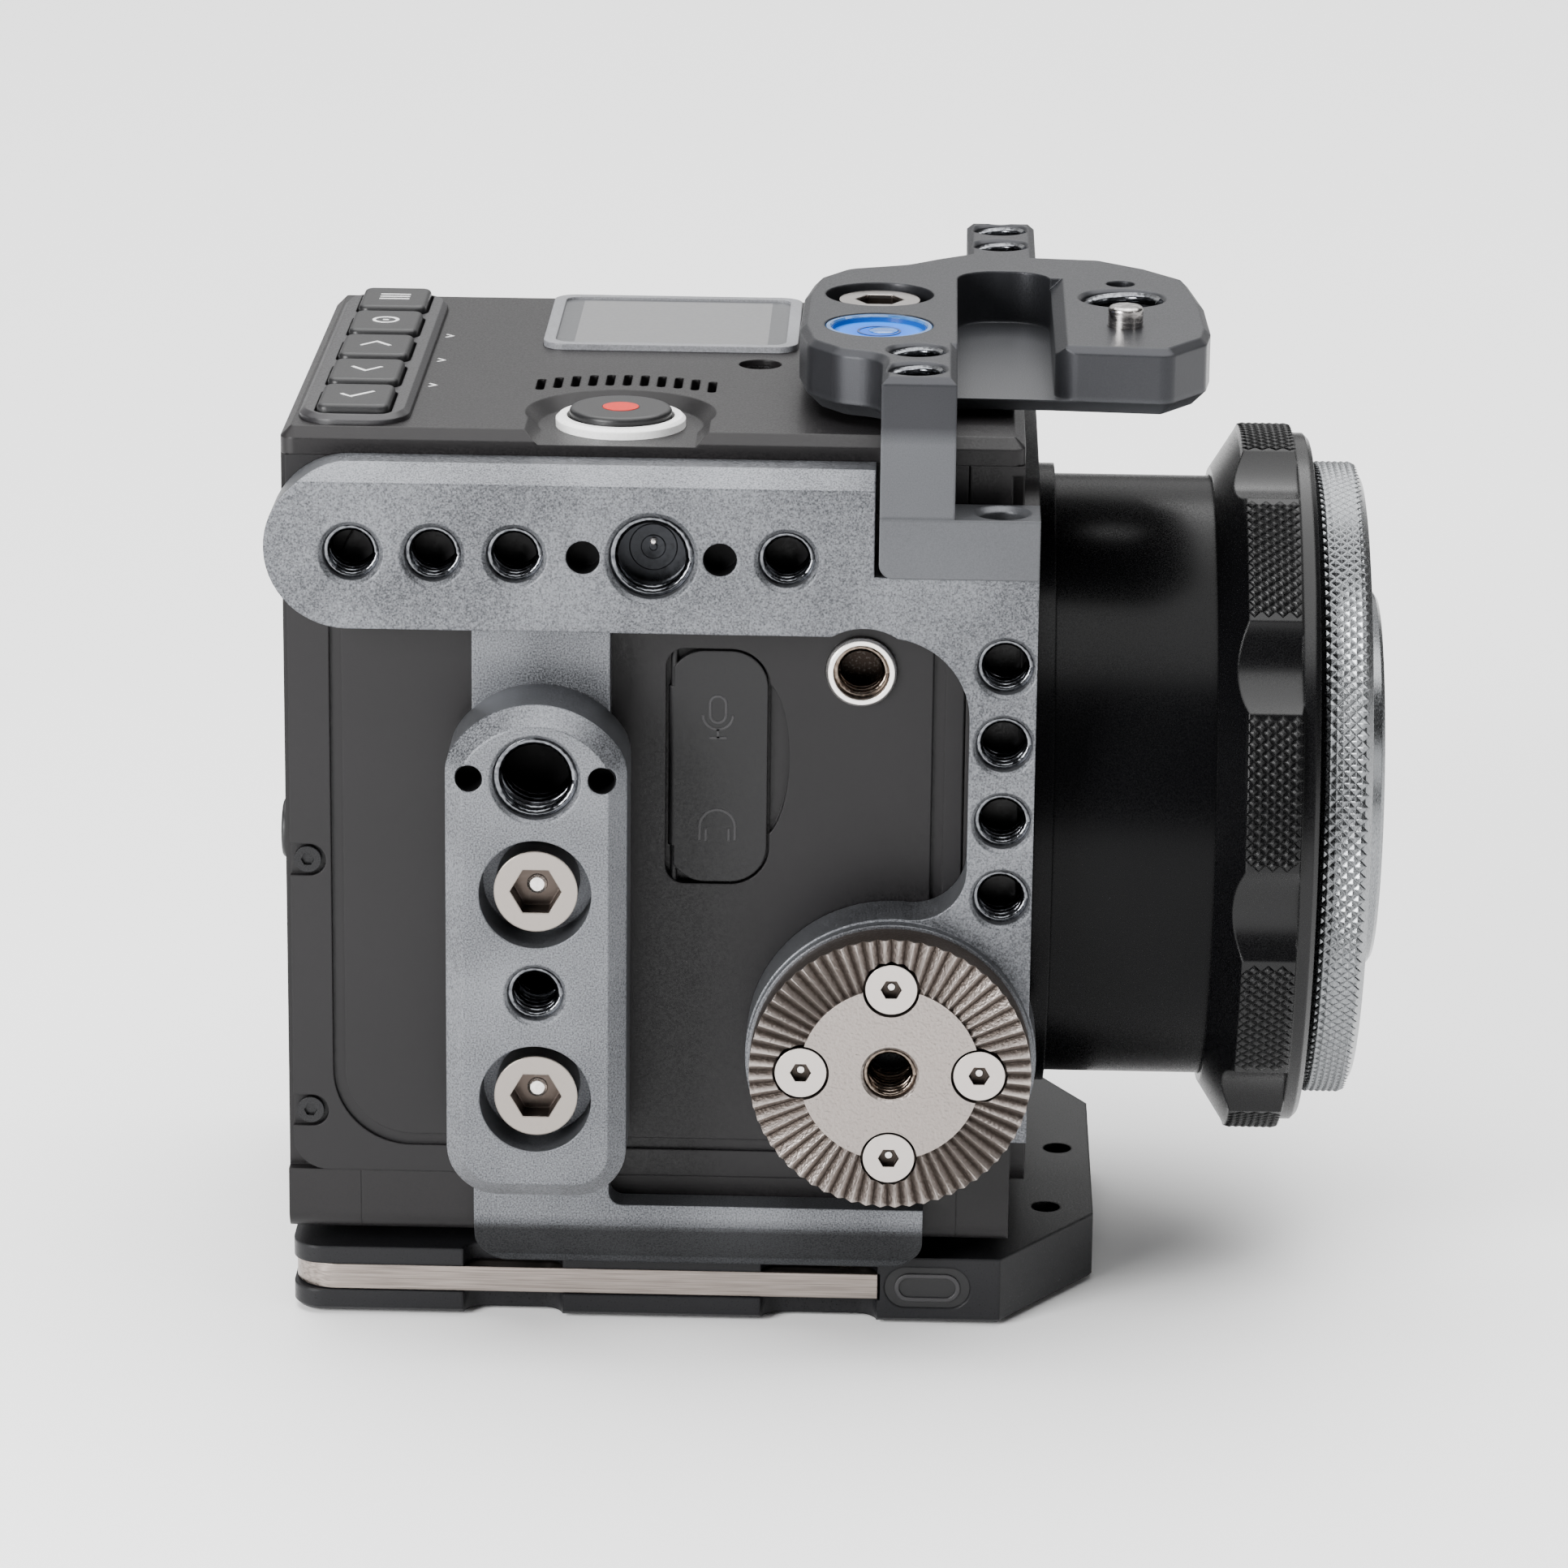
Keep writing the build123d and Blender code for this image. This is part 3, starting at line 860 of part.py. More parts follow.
with BuildPart() as stowed_key:
    key_z0 = SLOT_Z0 + key_gap
    key_z1 = SLOT_Z1 - key_gap
    block(BASE_X0 + 0.2, KEY_END_X, -BASE_HALF + 0.2, -BASE_HALF + 0.2 + KEY_WIDTH, key_z0, key_z1)
    block(BASE_X0 + 0.2, BASE_X0 + 0.2 + KEY_WIDTH, -BASE_HALF + 0.2, KEY_END_Y, key_z0, key_z1)
    fillet(stowed_key.edges().filter_by(Axis.Z).group_by(Axis.X)[0].sort_by(Axis.Y)[0], 5.0)
    bore_z(KEY_END_X - 4.0, -BASE_HALF + 3.0, 0, BASE_TOP, 1.2)
save(stowed_key.part, "stowed_key")

with BuildPart() as key_magnets:
    for magnet_x in (-33.0, 3.0):
        bore_y(magnet_x, (SLOT_Z0 + SLOT_Z1) / 2, -BASE_HALF + SLOT_DEPTH + 0.1, -BASE_HALF + SLOT_DEPTH + 2.0, 1.5,
               Mode.ADD)
save(key_magnets.part, "key_magnets")

with BuildPart() as key_retainer:
    with BuildSketch(side_plane(-BASE_HALF + 0.1)):
        with Locations((RETAINER_X, RETAINER_Z)):
            SlotOverall(10.0, 5.0)
    extrude(amount=-3.9)
save(key_retainer.part, "key_retainer")
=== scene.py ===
"""Looks of a compact cinema camera rig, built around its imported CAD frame. Metres, +X to the lens."""

import json
import math

import bmesh
import bpy
from mathutils import Euler, Matrix, Vector


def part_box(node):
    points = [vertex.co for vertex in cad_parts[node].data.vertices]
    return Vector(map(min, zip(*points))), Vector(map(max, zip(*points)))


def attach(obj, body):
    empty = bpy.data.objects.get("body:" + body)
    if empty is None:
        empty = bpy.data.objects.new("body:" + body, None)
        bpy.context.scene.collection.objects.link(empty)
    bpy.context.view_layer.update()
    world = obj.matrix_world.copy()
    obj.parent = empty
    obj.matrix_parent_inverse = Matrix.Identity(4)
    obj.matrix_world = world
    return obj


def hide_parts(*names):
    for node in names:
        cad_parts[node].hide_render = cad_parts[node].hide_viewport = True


bl_info = {
    "name": "Cinema camera rig finishes",
    "version": (1, 0, 0),
    "blender": (4, 5, 0),
    "location": "View3D > Sidebar > Camera Rig",
    "description": "Threads, knurls, icons, level, finishes and stage of a caged cinema camera",
    "category": "Object",
}

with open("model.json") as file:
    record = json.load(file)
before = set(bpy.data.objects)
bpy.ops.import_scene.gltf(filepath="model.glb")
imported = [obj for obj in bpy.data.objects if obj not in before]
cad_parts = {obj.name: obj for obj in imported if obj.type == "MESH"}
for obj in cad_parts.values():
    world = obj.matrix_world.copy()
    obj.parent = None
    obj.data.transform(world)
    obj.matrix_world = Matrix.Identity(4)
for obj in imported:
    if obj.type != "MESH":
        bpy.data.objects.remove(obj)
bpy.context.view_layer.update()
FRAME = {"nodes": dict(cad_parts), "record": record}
NODES = FRAME["nodes"]
MM = 0.001


# ---- sizes read off the frame ------------------------------------------------------------------
def centre(node):
    low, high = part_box(node)
    return (low + high) / 2


LENS_Z = centre("adapter_tube").z
RING_LOW, RING_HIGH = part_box("lock_ring")
RING_R = (RING_HIGH.y - RING_LOW.y) / 2
CAP_LOW, CAP_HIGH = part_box("body_cap")
CAP_R = (CAP_HIGH.y - CAP_LOW.y) / 2
BUTTON_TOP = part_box("menu_button")[1].z
COVER_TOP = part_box("record_ring")[1].z + 0.3 * MM
DOOR_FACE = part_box("port_door")[0].y
INSERT_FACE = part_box("side_thread_insert")[0].y
ROSETTE_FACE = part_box("rosette")[0].y
RAIL_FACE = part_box("cage_side_frame")[0].y + 1.5 * MM
BAR_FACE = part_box("accessory_bar")[0].y
PLATE_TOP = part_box("bubble_level")[1].z + 0.2 * MM
BAR_SCREWS_LOW, BAR_SCREWS_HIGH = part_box("accessory_bar_screws")
SCREW_HEAD_R = (BAR_SCREWS_HIGH.x - BAR_SCREWS_LOW.x) / 2
MOUNTS = {mount["name"]: mount for mount in FRAME["record"]["mounts"]}

# ---- sizes of the drawn detail, in millimetres -------------------------------------------------
ROSETTE_SCREW_CIRCLE = 10.05
RAIL_LOCATOR_OFFSET = 7.6
BAR_LOCATOR_OFFSET = 7.4
BLIND_DEPTH = 5.42  # from the rail's face to the floor of its large hole
BAR_DEPTH = 10.3  # from the bar's face to the strap behind it
SOCKET_DEPTH = 4.18  # from the bar's face to the floor of its hex sockets
RIDGE_SHARE = 0.42  # half width of a thread ridge, as a share of the pitch
RIDGE_INSET = 0.19  # how far a ridge's middle line is inside the bore, as a share of the pitch
CAP_KNURL_START = 6.9
CAP_KNURL_WIDTH = 4.3
RING_KNURL_START = 3.8
RING_ROW_STEP = 0.8
SCALLOPS = 9
SCREEN_HALF = 11.4  # half width of the lit part of the display

INWARDS = Euler((-math.pi / 2, 0, 0))
DOWNWARDS = Euler((math.pi, 0, 0))
TO_NEAR_SIDE = (math.pi / 2, 0, 0)


# ---- colour and node helpers -------------------------------------------------------------------
def srgb(hex_text):
    """sRGB hex text to linear RGBA."""
    channels = [int(hex_text[i : i + 2], 16) / 255 for i in (1, 3, 5)]
    linear = [c / 12.92 if c <= 0.04045 else ((c + 0.055) / 1.055) ** 2.4 for c in channels]
    return (*linear, 1.0)


def add(tree, kind, settings=None, links=None):
    """Adds a node. Settings name properties or input sockets; links map an input to an output socket."""
    node = tree.nodes.new(kind)
    for key, value in (settings or {}).items():
        if isinstance(key, int) or key in node.inputs:
            node.inputs[key].default_value = value
        else:
            setattr(node, key, value)
    for key, socket in (links or {}).items():
        tree.links.new(socket, node.inputs[key])
    return node


def work(tree, operation, *terms):
    """One math node; each term is a number or an output socket."""
    node = tree.nodes.new("ShaderNodeMath")
    node.operation = operation
    for index, term in enumerate(terms):
        if isinstance(term, (int, float)):
            node.inputs[index].default_value = term
        else:
            tree.links.new(term, node.inputs[index])
    return node.outputs[0]


def noise(tree, place, size_mm, detail=2.0, roughness=0.5):
    """Noise whose grains are about size_mm across."""
    settings = {"Scale": 1 / (size_mm * MM), "Detail": detail, "Roughness": roughness}
    return add(tree, "ShaderNodeTexNoise", settings, {"Vector": place}).outputs["Fac"]


def ramp(tree, factor, stops):
    """A colour ramp; stops are (position, sRGB hex)."""
    node = add(tree, "ShaderNodeValToRGB", links={0: factor})
    elements = node.color_ramp.elements
    for index, (position, colour) in enumerate(stops):
        element = elements[index] if index < len(elements) else elements.new(position)
        element.position = position
        element.color = srgb(colour)
    return node.outputs[0]


def centred_on(tree, place, middle):
    """The position, measured across from a middle."""
    shift = {"Location": (-middle.x, -middle.y, 0)}
    return add(tree, "ShaderNodeMapping", shift, {"Vector": place}).outputs[0]


def start_material(name, rough, metal=0.0, colour=None, **sockets):
    """A named material with one Principled shader; returns it with its tree, shader and position."""
    material = bpy.data.materials.new(name)
    material.use_nodes = True
    tree = material.node_tree
    shader = tree.nodes["Principled BSDF"]
    shader.inputs["Roughness"].default_value = rough
    shader.inputs["Metallic"].default_value = metal
    if colour:
        shader.inputs["Base Color"].default_value = srgb(colour)
        material.diffuse_color = srgb(colour)
    for key, value in sockets.items():
        shader.inputs[key.replace("_", " ")].default_value = value
    place = add(tree, "ShaderNodeTexCoord").outputs["Object"]
    return material, tree, shader, place


def gloss(tree, shader, level, low, high, from_low=0.3, from_high=0.7):
    """Roughness that runs from low to high with a level."""
    settings = {"From Min": from_low, "From Max": from_high, "To Min": low, "To Max": high}
    mapped = add(tree, "ShaderNodeMapRange", settings, {"Value": level}).outputs[0]
    tree.links.new(mapped, shader.inputs["Roughness"])


def relief(tree, shader, height, strength, depth_mm, edge_mm):
    """Bump over softly broken edges."""
    edge = add(tree, "ShaderNodeBevel", {"samples": 4, "Radius": edge_mm * MM}).outputs[0]
    settings = {"Strength": strength, "Distance": depth_mm * MM}
    bump = add(tree, "ShaderNodeBump", settings, {"Height": height, "Normal": edge})
    tree.links.new(bump.outputs[0], shader.inputs["Normal"])


def speckled(name, dark, light, rough, grain_mm, bump=0.2, metal=0.0, spread=0.1, edge_mm=0.25, band=None,
             **sockets):
    """A finish with fine grain in colour, gloss and relief, a slow cloudiness, and softly broken edges.

    band is (Z low, Z high, colour low, colour high): a tint that changes between two heights, used as painted
    shade.
    """
    material, tree, shader, place = start_material(name, rough, metal, light, **sockets)
    grain = noise(tree, place, grain_mm, roughness=0.6)
    cloud = work(tree, "MULTIPLY", noise(tree, place, 14), 0.28)
    tone = ramp(tree, work(tree, "MULTIPLY_ADD", grain, 0.72, cloud), [(0.36, dark), (0.64, light)])
    if band:
        height = add(tree, "ShaderNodeSeparateXYZ", links={0: place}).outputs[2]
        share = add(tree, "ShaderNodeMapRange", {"From Min": band[0], "From Max": band[1]}, {"Value": height})
        tint = ramp(tree, share.outputs[0], [(0.0, band[2]), (1.0, band[3])])
        mix = {"data_type": "RGBA", "blend_type": "MULTIPLY", 0: 1.0}
        tone = add(tree, "ShaderNodeMix", mix, {6: tone, 7: tint}).outputs[2]
    tree.links.new(tone, shader.inputs["Base Color"])
    gloss(tree, shader, grain, rough - spread, rough + spread)
    relief(tree, shader, grain, bump, grain_mm * 0.25, edge_mm)
    return material


def stretched(name, dark, light, rough, grain_mm, stretch, bump=0.15, edge_mm=0.2):
    """A metal with drawn or turned lines: the grain is stretched along one axis."""
    material, tree, shader, place = start_material(name, rough, 1.0, light)
    mapped = add(tree, "ShaderNodeMapping", {"Scale": stretch}, {"Vector": place}).outputs[0]
    lines = noise(tree, mapped, grain_mm, detail=3.0)
    tree.links.new(ramp(tree, lines, [(0.3, dark), (0.7, light)]), shader.inputs["Base Color"])
    gloss(tree, shader, lines, rough - 0.08, rough + 0.08)
    relief(tree, shader, lines, bump, grain_mm * 0.2, edge_mm)
    return material


def graded(name, deep, face, rough, grain_mm, axis, deep_at, face_at, bump=0.05, edge_mm=0.12,
           grain_share=0.24):
    """A metal with painted shade down in its sockets or grooves, along one axis: darker and rougher there
    than on its face.
    """
    material, tree, shader, place = start_material(name, rough, 1.0, face)
    across = add(tree, "ShaderNodeSeparateXYZ", links={0: place}).outputs[axis]
    reach = {"From Min": deep_at, "From Max": face_at}
    level = add(tree, "ShaderNodeMapRange", reach, {"Value": across}).outputs[0]
    grain = noise(tree, place, grain_mm)
    base = work(tree, "MULTIPLY_ADD", level, 0.9, 0.05 - grain_share / 2)
    shade = work(tree, "MULTIPLY_ADD", grain, grain_share, base)
    tree.links.new(ramp(tree, shade, [(0.06, deep), (0.94, face)]), shader.inputs["Base Color"])
    gloss(tree, shader, level, rough + 0.12, rough, 0.0, 1.0)
    relief(tree, shader, grain, bump, grain_mm * 0.25, edge_mm)
    return material


def tinted(name, rough, middle, dark, light, grain_mm, **sockets):
    """A plain plastic or glass whose tone drifts slowly either side of its middle colour."""
    material, tree, shader, place = start_material(name, rough, 0.0, middle, **sockets)
    tone = ramp(tree, noise(tree, place, grain_mm), [(0.3, dark), (0.7, light)])
    tree.links.new(tone, shader.inputs["Base Color"])
    return material


# ---- settings ----------------------------------------------------------------------------------
def colour_hex(name, text, default):
    return bpy.props.StringProperty(name=name, description=text, default=default)


def distance(name, text, default):
    return bpy.props.FloatProperty(name=name, description=text, default=default * MM, min=0.5 * MM,
                                   subtype="DISTANCE", unit="LENGTH")


class RigColours(bpy.types.PropertyGroup):
    """sRGB hex colours of the main finishes."""

    cage_dark: colour_hex("Cage dark", "Darker grain of the blasted cage metal", "#3f4043")
    cage_light: colour_hex("Cage light", "Lighter grain of the blasted cage metal", "#7b7d81")
    plate: colour_hex("Top plate", "Smooth anodised top plate", "#8f9195")
    body: colour_hex("Body", "Painted camera housing", "#171516")
    panel: colour_hex("Panel", "Painted side panels", "#110f11")
    dot: colour_hex("Record dot", "Coral record dot", "#cc2a20")
    level: colour_hex("Level", "Blue liquid of the bubble level", "#0a5fd0")


class RigSizes(bpy.types.PropertyGroup):
    """Sizes of the repeated detail."""

    knurl_pitch: distance("Cap knurl pitch", "Distance between diamonds on the body cap", 1.35)
    ring_pitch: distance("Ring knurl pitch", "Distance between diamonds on the lock ring", 1.3)
    small_pitch: distance("Small thread pitch", "Pitch of the 1/4-20 threads", 1.27)
    large_pitch: distance("Large thread pitch", "Pitch of the 3/8-16 threads", 1.588)


# ---- geometry node helpers ---------------------------------------------------------------------
def start_nodes(name, inputs):
    """A geometry tree with a Geometry input and the named inputs (name, socket type, default)."""
    tree = bpy.data.node_groups.new(name, "GeometryNodeTree")
    face = tree.interface
    face.new_socket("Geometry", in_out="INPUT", socket_type="NodeSocketGeometry")
    for label, kind, default in inputs:
        socket = face.new_socket(label, in_out="INPUT", socket_type="NodeSocket" + kind)
        if default is not None:
            socket.default_value = default
    face.new_socket("Geometry", in_out="OUTPUT", socket_type="NodeSocketGeometry")
    return tree, tree.nodes.new("NodeGroupInput").outputs, tree.nodes.new("NodeGroupOutput").inputs


def end_nodes(tree, leave, geometry, material_socket):
    """Makes the copies real, gives them their material and sends them out."""
    real = add(tree, "GeometryNodeRealizeInstances", links={0: geometry}).outputs[0]
    painted = add(tree, "GeometryNodeSetMaterial", links={"Geometry": real, "Material": material_socket})
    tree.links.new(painted.outputs[0], leave[0])


def grow(name, points, tree, values, body):
    """Runs a geometry tree on a mesh of points and keeps the result as one plain mesh piece."""
    seed = bpy.data.meshes.new(name + "_points")
    seed.from_pydata([tuple(p) for p in points], [], [])
    host = bpy.data.objects.new(name + "_host", seed)
    bpy.context.scene.collection.objects.link(host)
    modifier = host.modifiers.new("grow", "NODES")
    modifier.node_group = tree
    for item in tree.interface.items_tree:
        if item.item_type == "SOCKET" and item.in_out == "INPUT" and item.name in values:
            modifier[item.identifier] = values[item.name]
    depsgraph = bpy.context.evaluated_depsgraph_get()
    mesh = bpy.data.meshes.new_from_object(host.evaluated_get(depsgraph))
    if not mesh.polygons:
        raise RuntimeError(name + " came out empty")
    host.modifiers.remove(modifier)
    bpy.data.objects.remove(host)
    return keep(name, mesh, body)


def keep(name, mesh, body, material=None, smooth=False):
    """Makes a mesh a finished piece that rides on a body."""
    mesh.name = name
    piece = bpy.data.objects.new(name, mesh)
    bpy.context.scene.collection.objects.link(piece)
    if material:
        mesh.materials.clear()
        mesh.materials.append(material)
    if smooth:
        for polygon in mesh.polygons:
            polygon.use_smooth = True
    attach(piece, body)
    return piece


def thread_tree():
    """A helical ridge, one in each hole: the points are the holes' mouths."""
    tree, given, leave = start_nodes("Thread turns", [
        ("Radius", "Float", 3.1 * MM), ("Pitch", "Float", 1.27 * MM), ("Depth", "Float", 5 * MM),
        ("Ridge share", "Float", RIDGE_SHARE), ("Turn", "Rotation", None), ("Material", "Material", None)])
    turns = work(tree, "DIVIDE", given["Depth"], given["Pitch"])
    helix = add(tree, "GeometryNodeCurveSpiral", {"Resolution": 28}, {
        "Rotations": turns, "Start Radius": given["Radius"], "End Radius": given["Radius"],
        "Height": given["Depth"]})
    ridge = work(tree, "MULTIPLY", given["Pitch"], given["Ridge share"])
    profile = add(tree, "GeometryNodeCurvePrimitiveCircle", {"Resolution": 4}, {"Radius": ridge})
    solid = add(tree, "GeometryNodeCurveToMesh", {"Fill Caps": True}, {
        "Curve": helix.outputs[0], "Profile Curve": profile.outputs[0]})
    threads = add(tree, "GeometryNodeInstanceOnPoints", links={
        "Points": given["Geometry"], "Instance": solid.outputs[0], "Rotation": given["Turn"]})
    end_nodes(tree, leave, threads.outputs[0], given["Material"])
    return tree


def knurl_tree():
    """Rows of small diamonds round an axis along X, left out where a scallop is."""
    tree, given, leave = start_nodes("Diamond knurl", [
        ("Radius", "Float", 37 * MM), ("Count", "Int", 160), ("Rows", "Int", 6), ("Start X", "Float", 0.0),
        ("Row step", "Float", 0.7 * MM), ("Diamond", "Float", 0.7 * MM), ("Height", "Float", 0.35 * MM),
        ("Centre Z", "Float", 0.0), ("Sector", "Float", math.tau), ("Open half", "Float", 0.0),
        ("Phase", "Float", 0.0), ("Material", "Material", None)])
    total = work(tree, "MULTIPLY", given["Count"], given["Rows"])
    dots = add(tree, "GeometryNodePoints", {}, {"Count": total}).outputs[0]
    index = add(tree, "GeometryNodeInputIndex").outputs[0]
    row = work(tree, "FLOOR", work(tree, "DIVIDE", index, given["Count"]))
    # Every second row is shifted by half a diamond.
    column = work(tree, "ADD", index, work(tree, "MULTIPLY", row, 0.5))
    angle = work(tree, "MULTIPLY", column, work(tree, "DIVIDE", math.tau, given["Count"]))
    x = work(tree, "MULTIPLY_ADD", row, given["Row step"], given["Start X"])
    y = work(tree, "MULTIPLY", work(tree, "COSINE", angle), given["Radius"])
    z = work(tree, "MULTIPLY_ADD", work(tree, "SINE", angle), given["Radius"], given["Centre Z"])
    spot = add(tree, "ShaderNodeCombineXYZ", links={0: x, 1: y, 2: z}).outputs[0]
    spread_out = add(tree, "GeometryNodeSetPosition", links={"Geometry": dots, "Position": spot}).outputs[0]
    # A point is dropped when it is within the open half of a sector's edge.
    half_sector = work(tree, "MULTIPLY", given["Sector"], 0.5)
    within = work(tree, "FLOORED_MODULO", work(tree, "SUBTRACT", angle, given["Phase"]), given["Sector"])
    away = work(tree, "ABSOLUTE", work(tree, "SUBTRACT", within, half_sector))
    limit = work(tree, "SUBTRACT", half_sector, given["Open half"])
    greater = {"data_type": "FLOAT", "operation": "GREATER_THAN"}
    in_scallop = add(tree, "FunctionNodeCompare", greater, {0: away, 1: limit})
    kept = add(tree, "GeometryNodeDeleteGeometry", {"domain": "POINT"}, {
        "Geometry": spread_out, "Selection": in_scallop.outputs[0]}).outputs[0]
    diamond = add(tree, "GeometryNodeMeshCone", {"Vertices": 4, "fill_type": "NGON", "Radius Top": 0.0}, {
        "Radius Bottom": given["Diamond"], "Depth": given["Height"]}).outputs["Mesh"]
    # Outward comes from where the point is, because its index changes when others are dropped.
    position = add(tree, "GeometryNodeInputPosition").outputs[0]
    where = add(tree, "ShaderNodeSeparateXYZ", links={0: position}).outputs
    rise = work(tree, "SUBTRACT", where[2], given["Centre Z"])
    outward = add(tree, "ShaderNodeCombineXYZ", links={1: where[1], 2: rise}).outputs[0]
    aim = add(tree, "FunctionNodeAlignRotationToVector", {"axis": "Z"}, {"Vector": outward}).outputs[0]
    studs = add(tree, "GeometryNodeInstanceOnPoints", links={
        "Points": kept, "Instance": diamond, "Rotation": aim})
    end_nodes(tree, leave, studs.outputs[0], given["Material"])
    return tree


# ---- mesh helpers ------------------------------------------------------------------------------
def finished(mesh, name):
    """Turns a bmesh into a mesh with its faces outward."""
    bmesh.ops.recalc_face_normals(mesh, faces=mesh.faces)
    result = bpy.data.meshes.new(name)
    mesh.to_mesh(result)
    mesh.free()
    return result


def lathe(profile, steps=64):
    """Closed (radius, height) profile turned about Z."""
    mesh = bmesh.new()
    rings = []
    for radius, height in profile:
        if radius < 1e-7:
            rings.append([mesh.verts.new((0, 0, height))] * steps)
            continue
        turns = [math.tau * k / steps for k in range(steps)]
        rings.append([mesh.verts.new((radius * math.cos(a), radius * math.sin(a), height)) for a in turns])
    for lower, upper in zip(rings, rings[1:]):
        for k in range(steps):
            n = (k + 1) % steps
            corners = []
            for vertex in (lower[k], lower[n], upper[n], upper[k]):
                if vertex not in corners:
                    corners.append(vertex)
            if len(corners) > 2:
                mesh.faces.new(corners)
    return finished(mesh, "turned")


def strokes(lines, width, height):
    """Raised line work: each (x, y) polyline in millimetres becomes a closed bar on the XY plane."""
    mesh = bmesh.new()
    for line in lines:
        points = [Vector((x, y, 0)) * MM for x, y in line]
        rows = []
        for i, p in enumerate(points):
            ahead = (points[min(i + 1, len(points) - 1)] - points[max(i - 1, 0)]).normalized()
            side = Vector((-ahead.y, ahead.x, 0)) * width * MM / 2
            if 0 < i < len(points) - 1:
                turn = (points[i] - points[i - 1]).angle(points[i + 1] - points[i])
                side /= max(math.cos(turn / 2), 0.4)
            up = Vector((0, 0, height * MM))
            rows.append([mesh.verts.new(v) for v in (p + side, p - side, p - side + up, p + side + up)])
        for a, b in zip(rows, rows[1:]):
            for k in range(4):
                n = (k + 1) % 4
                mesh.faces.new((a[k], a[n], b[n], b[k]))
        mesh.faces.new(rows[0][::-1])
        mesh.faces.new(rows[-1])
    return finished(mesh, "strokes")


def arc(cx, cy, radius, start, end, steps=14):
    turns = [math.radians(start + (end - start) * k / steps) for k in range(steps + 1)]
    return [(cx + radius * math.cos(a), cy + radius * math.sin(a)) for a in turns]


def placed(mesh, x, y, z, turn=(0, 0, 0)):
    mesh.transform(Matrix.Translation((x, y, z)) @ Euler(turn).to_matrix().to_4x4())
    return mesh


def hole_places(names, face, axis):
    """Mouths of the named mounts' holes: their places in the record, moved to the face along the axis."""
    places = []
    for name in names:
        middle = Vector(MOUNTS[name]["pos_m"])
        middle[axis] = face
        sizes = MOUNTS[name]["dims"]
        step = Vector((sizes.get("spacing_x_mm", 0), 0, 0)) * MM / 2
        step[3 - axis] = sizes.get("spacing_y_mm", 0) * MM / 2
        places += [middle - step, middle + step] if step.length else [middle]
    return places


# ---- finishes ----------------------------------------------------------------------------------
SHOP = {}


def cage_finishes(colours):
    # Bead-blasted, hard-anodised aluminium: a sparkling grey grain, with painted shade low on the sill.
    SHOP["cage"] = speckled(
        "bead_blasted_anodised_aluminium", colours.cage_dark, colours.cage_light, 0.42, 0.2, bump=0.45,
        metal=0.85, spread=0.12, edge_mm=0.3, band=(12.6 * MM, 14.6 * MM, "#7c7c7c", "#ffffff"))
    # Satin anodised aluminium: a finer, smoother grain, with painted shade on the plate's upper part.
    SHOP["plate"] = speckled(
        "satin_anodised_aluminium", "#7d7f83", colours.plate, 0.38, 0.15, bump=0.25, metal=0.6, edge_mm=0.4,
        band=(107.2 * MM, 109.2 * MM, "#9c9c9d", "#5c5c5f"))
    # Freshly cut threads: bright crests in the shade of the hole.
    SHOP["cut"] = stretched("freshly_cut_thread", "#45464a", "#7c7e82", 0.18, 0.6, (1, 1, 1),
                            bump=0.02, edge_mm=0.05)
    # Floor of the blind hole, with the drill's rings: its dark tone is painted shade.
    SHOP["drilled"] = speckled("drilled_floor_painted_shade", "#1f2022", "#2d2e31", 0.34, 1.2, bump=0.02,
                               metal=0.9, edge_mm=0.1)
    # Painted shade, almost black: inside the small blind holes and on the strap seen through the bar's holes.
    SHOP["shade"] = speckled("bore_painted_shade", "#070708", "#0c0c0d", 0.5, 0.3, bump=0.05, edge_mm=0.1,
                             Specular_IOR_Level=0.1)


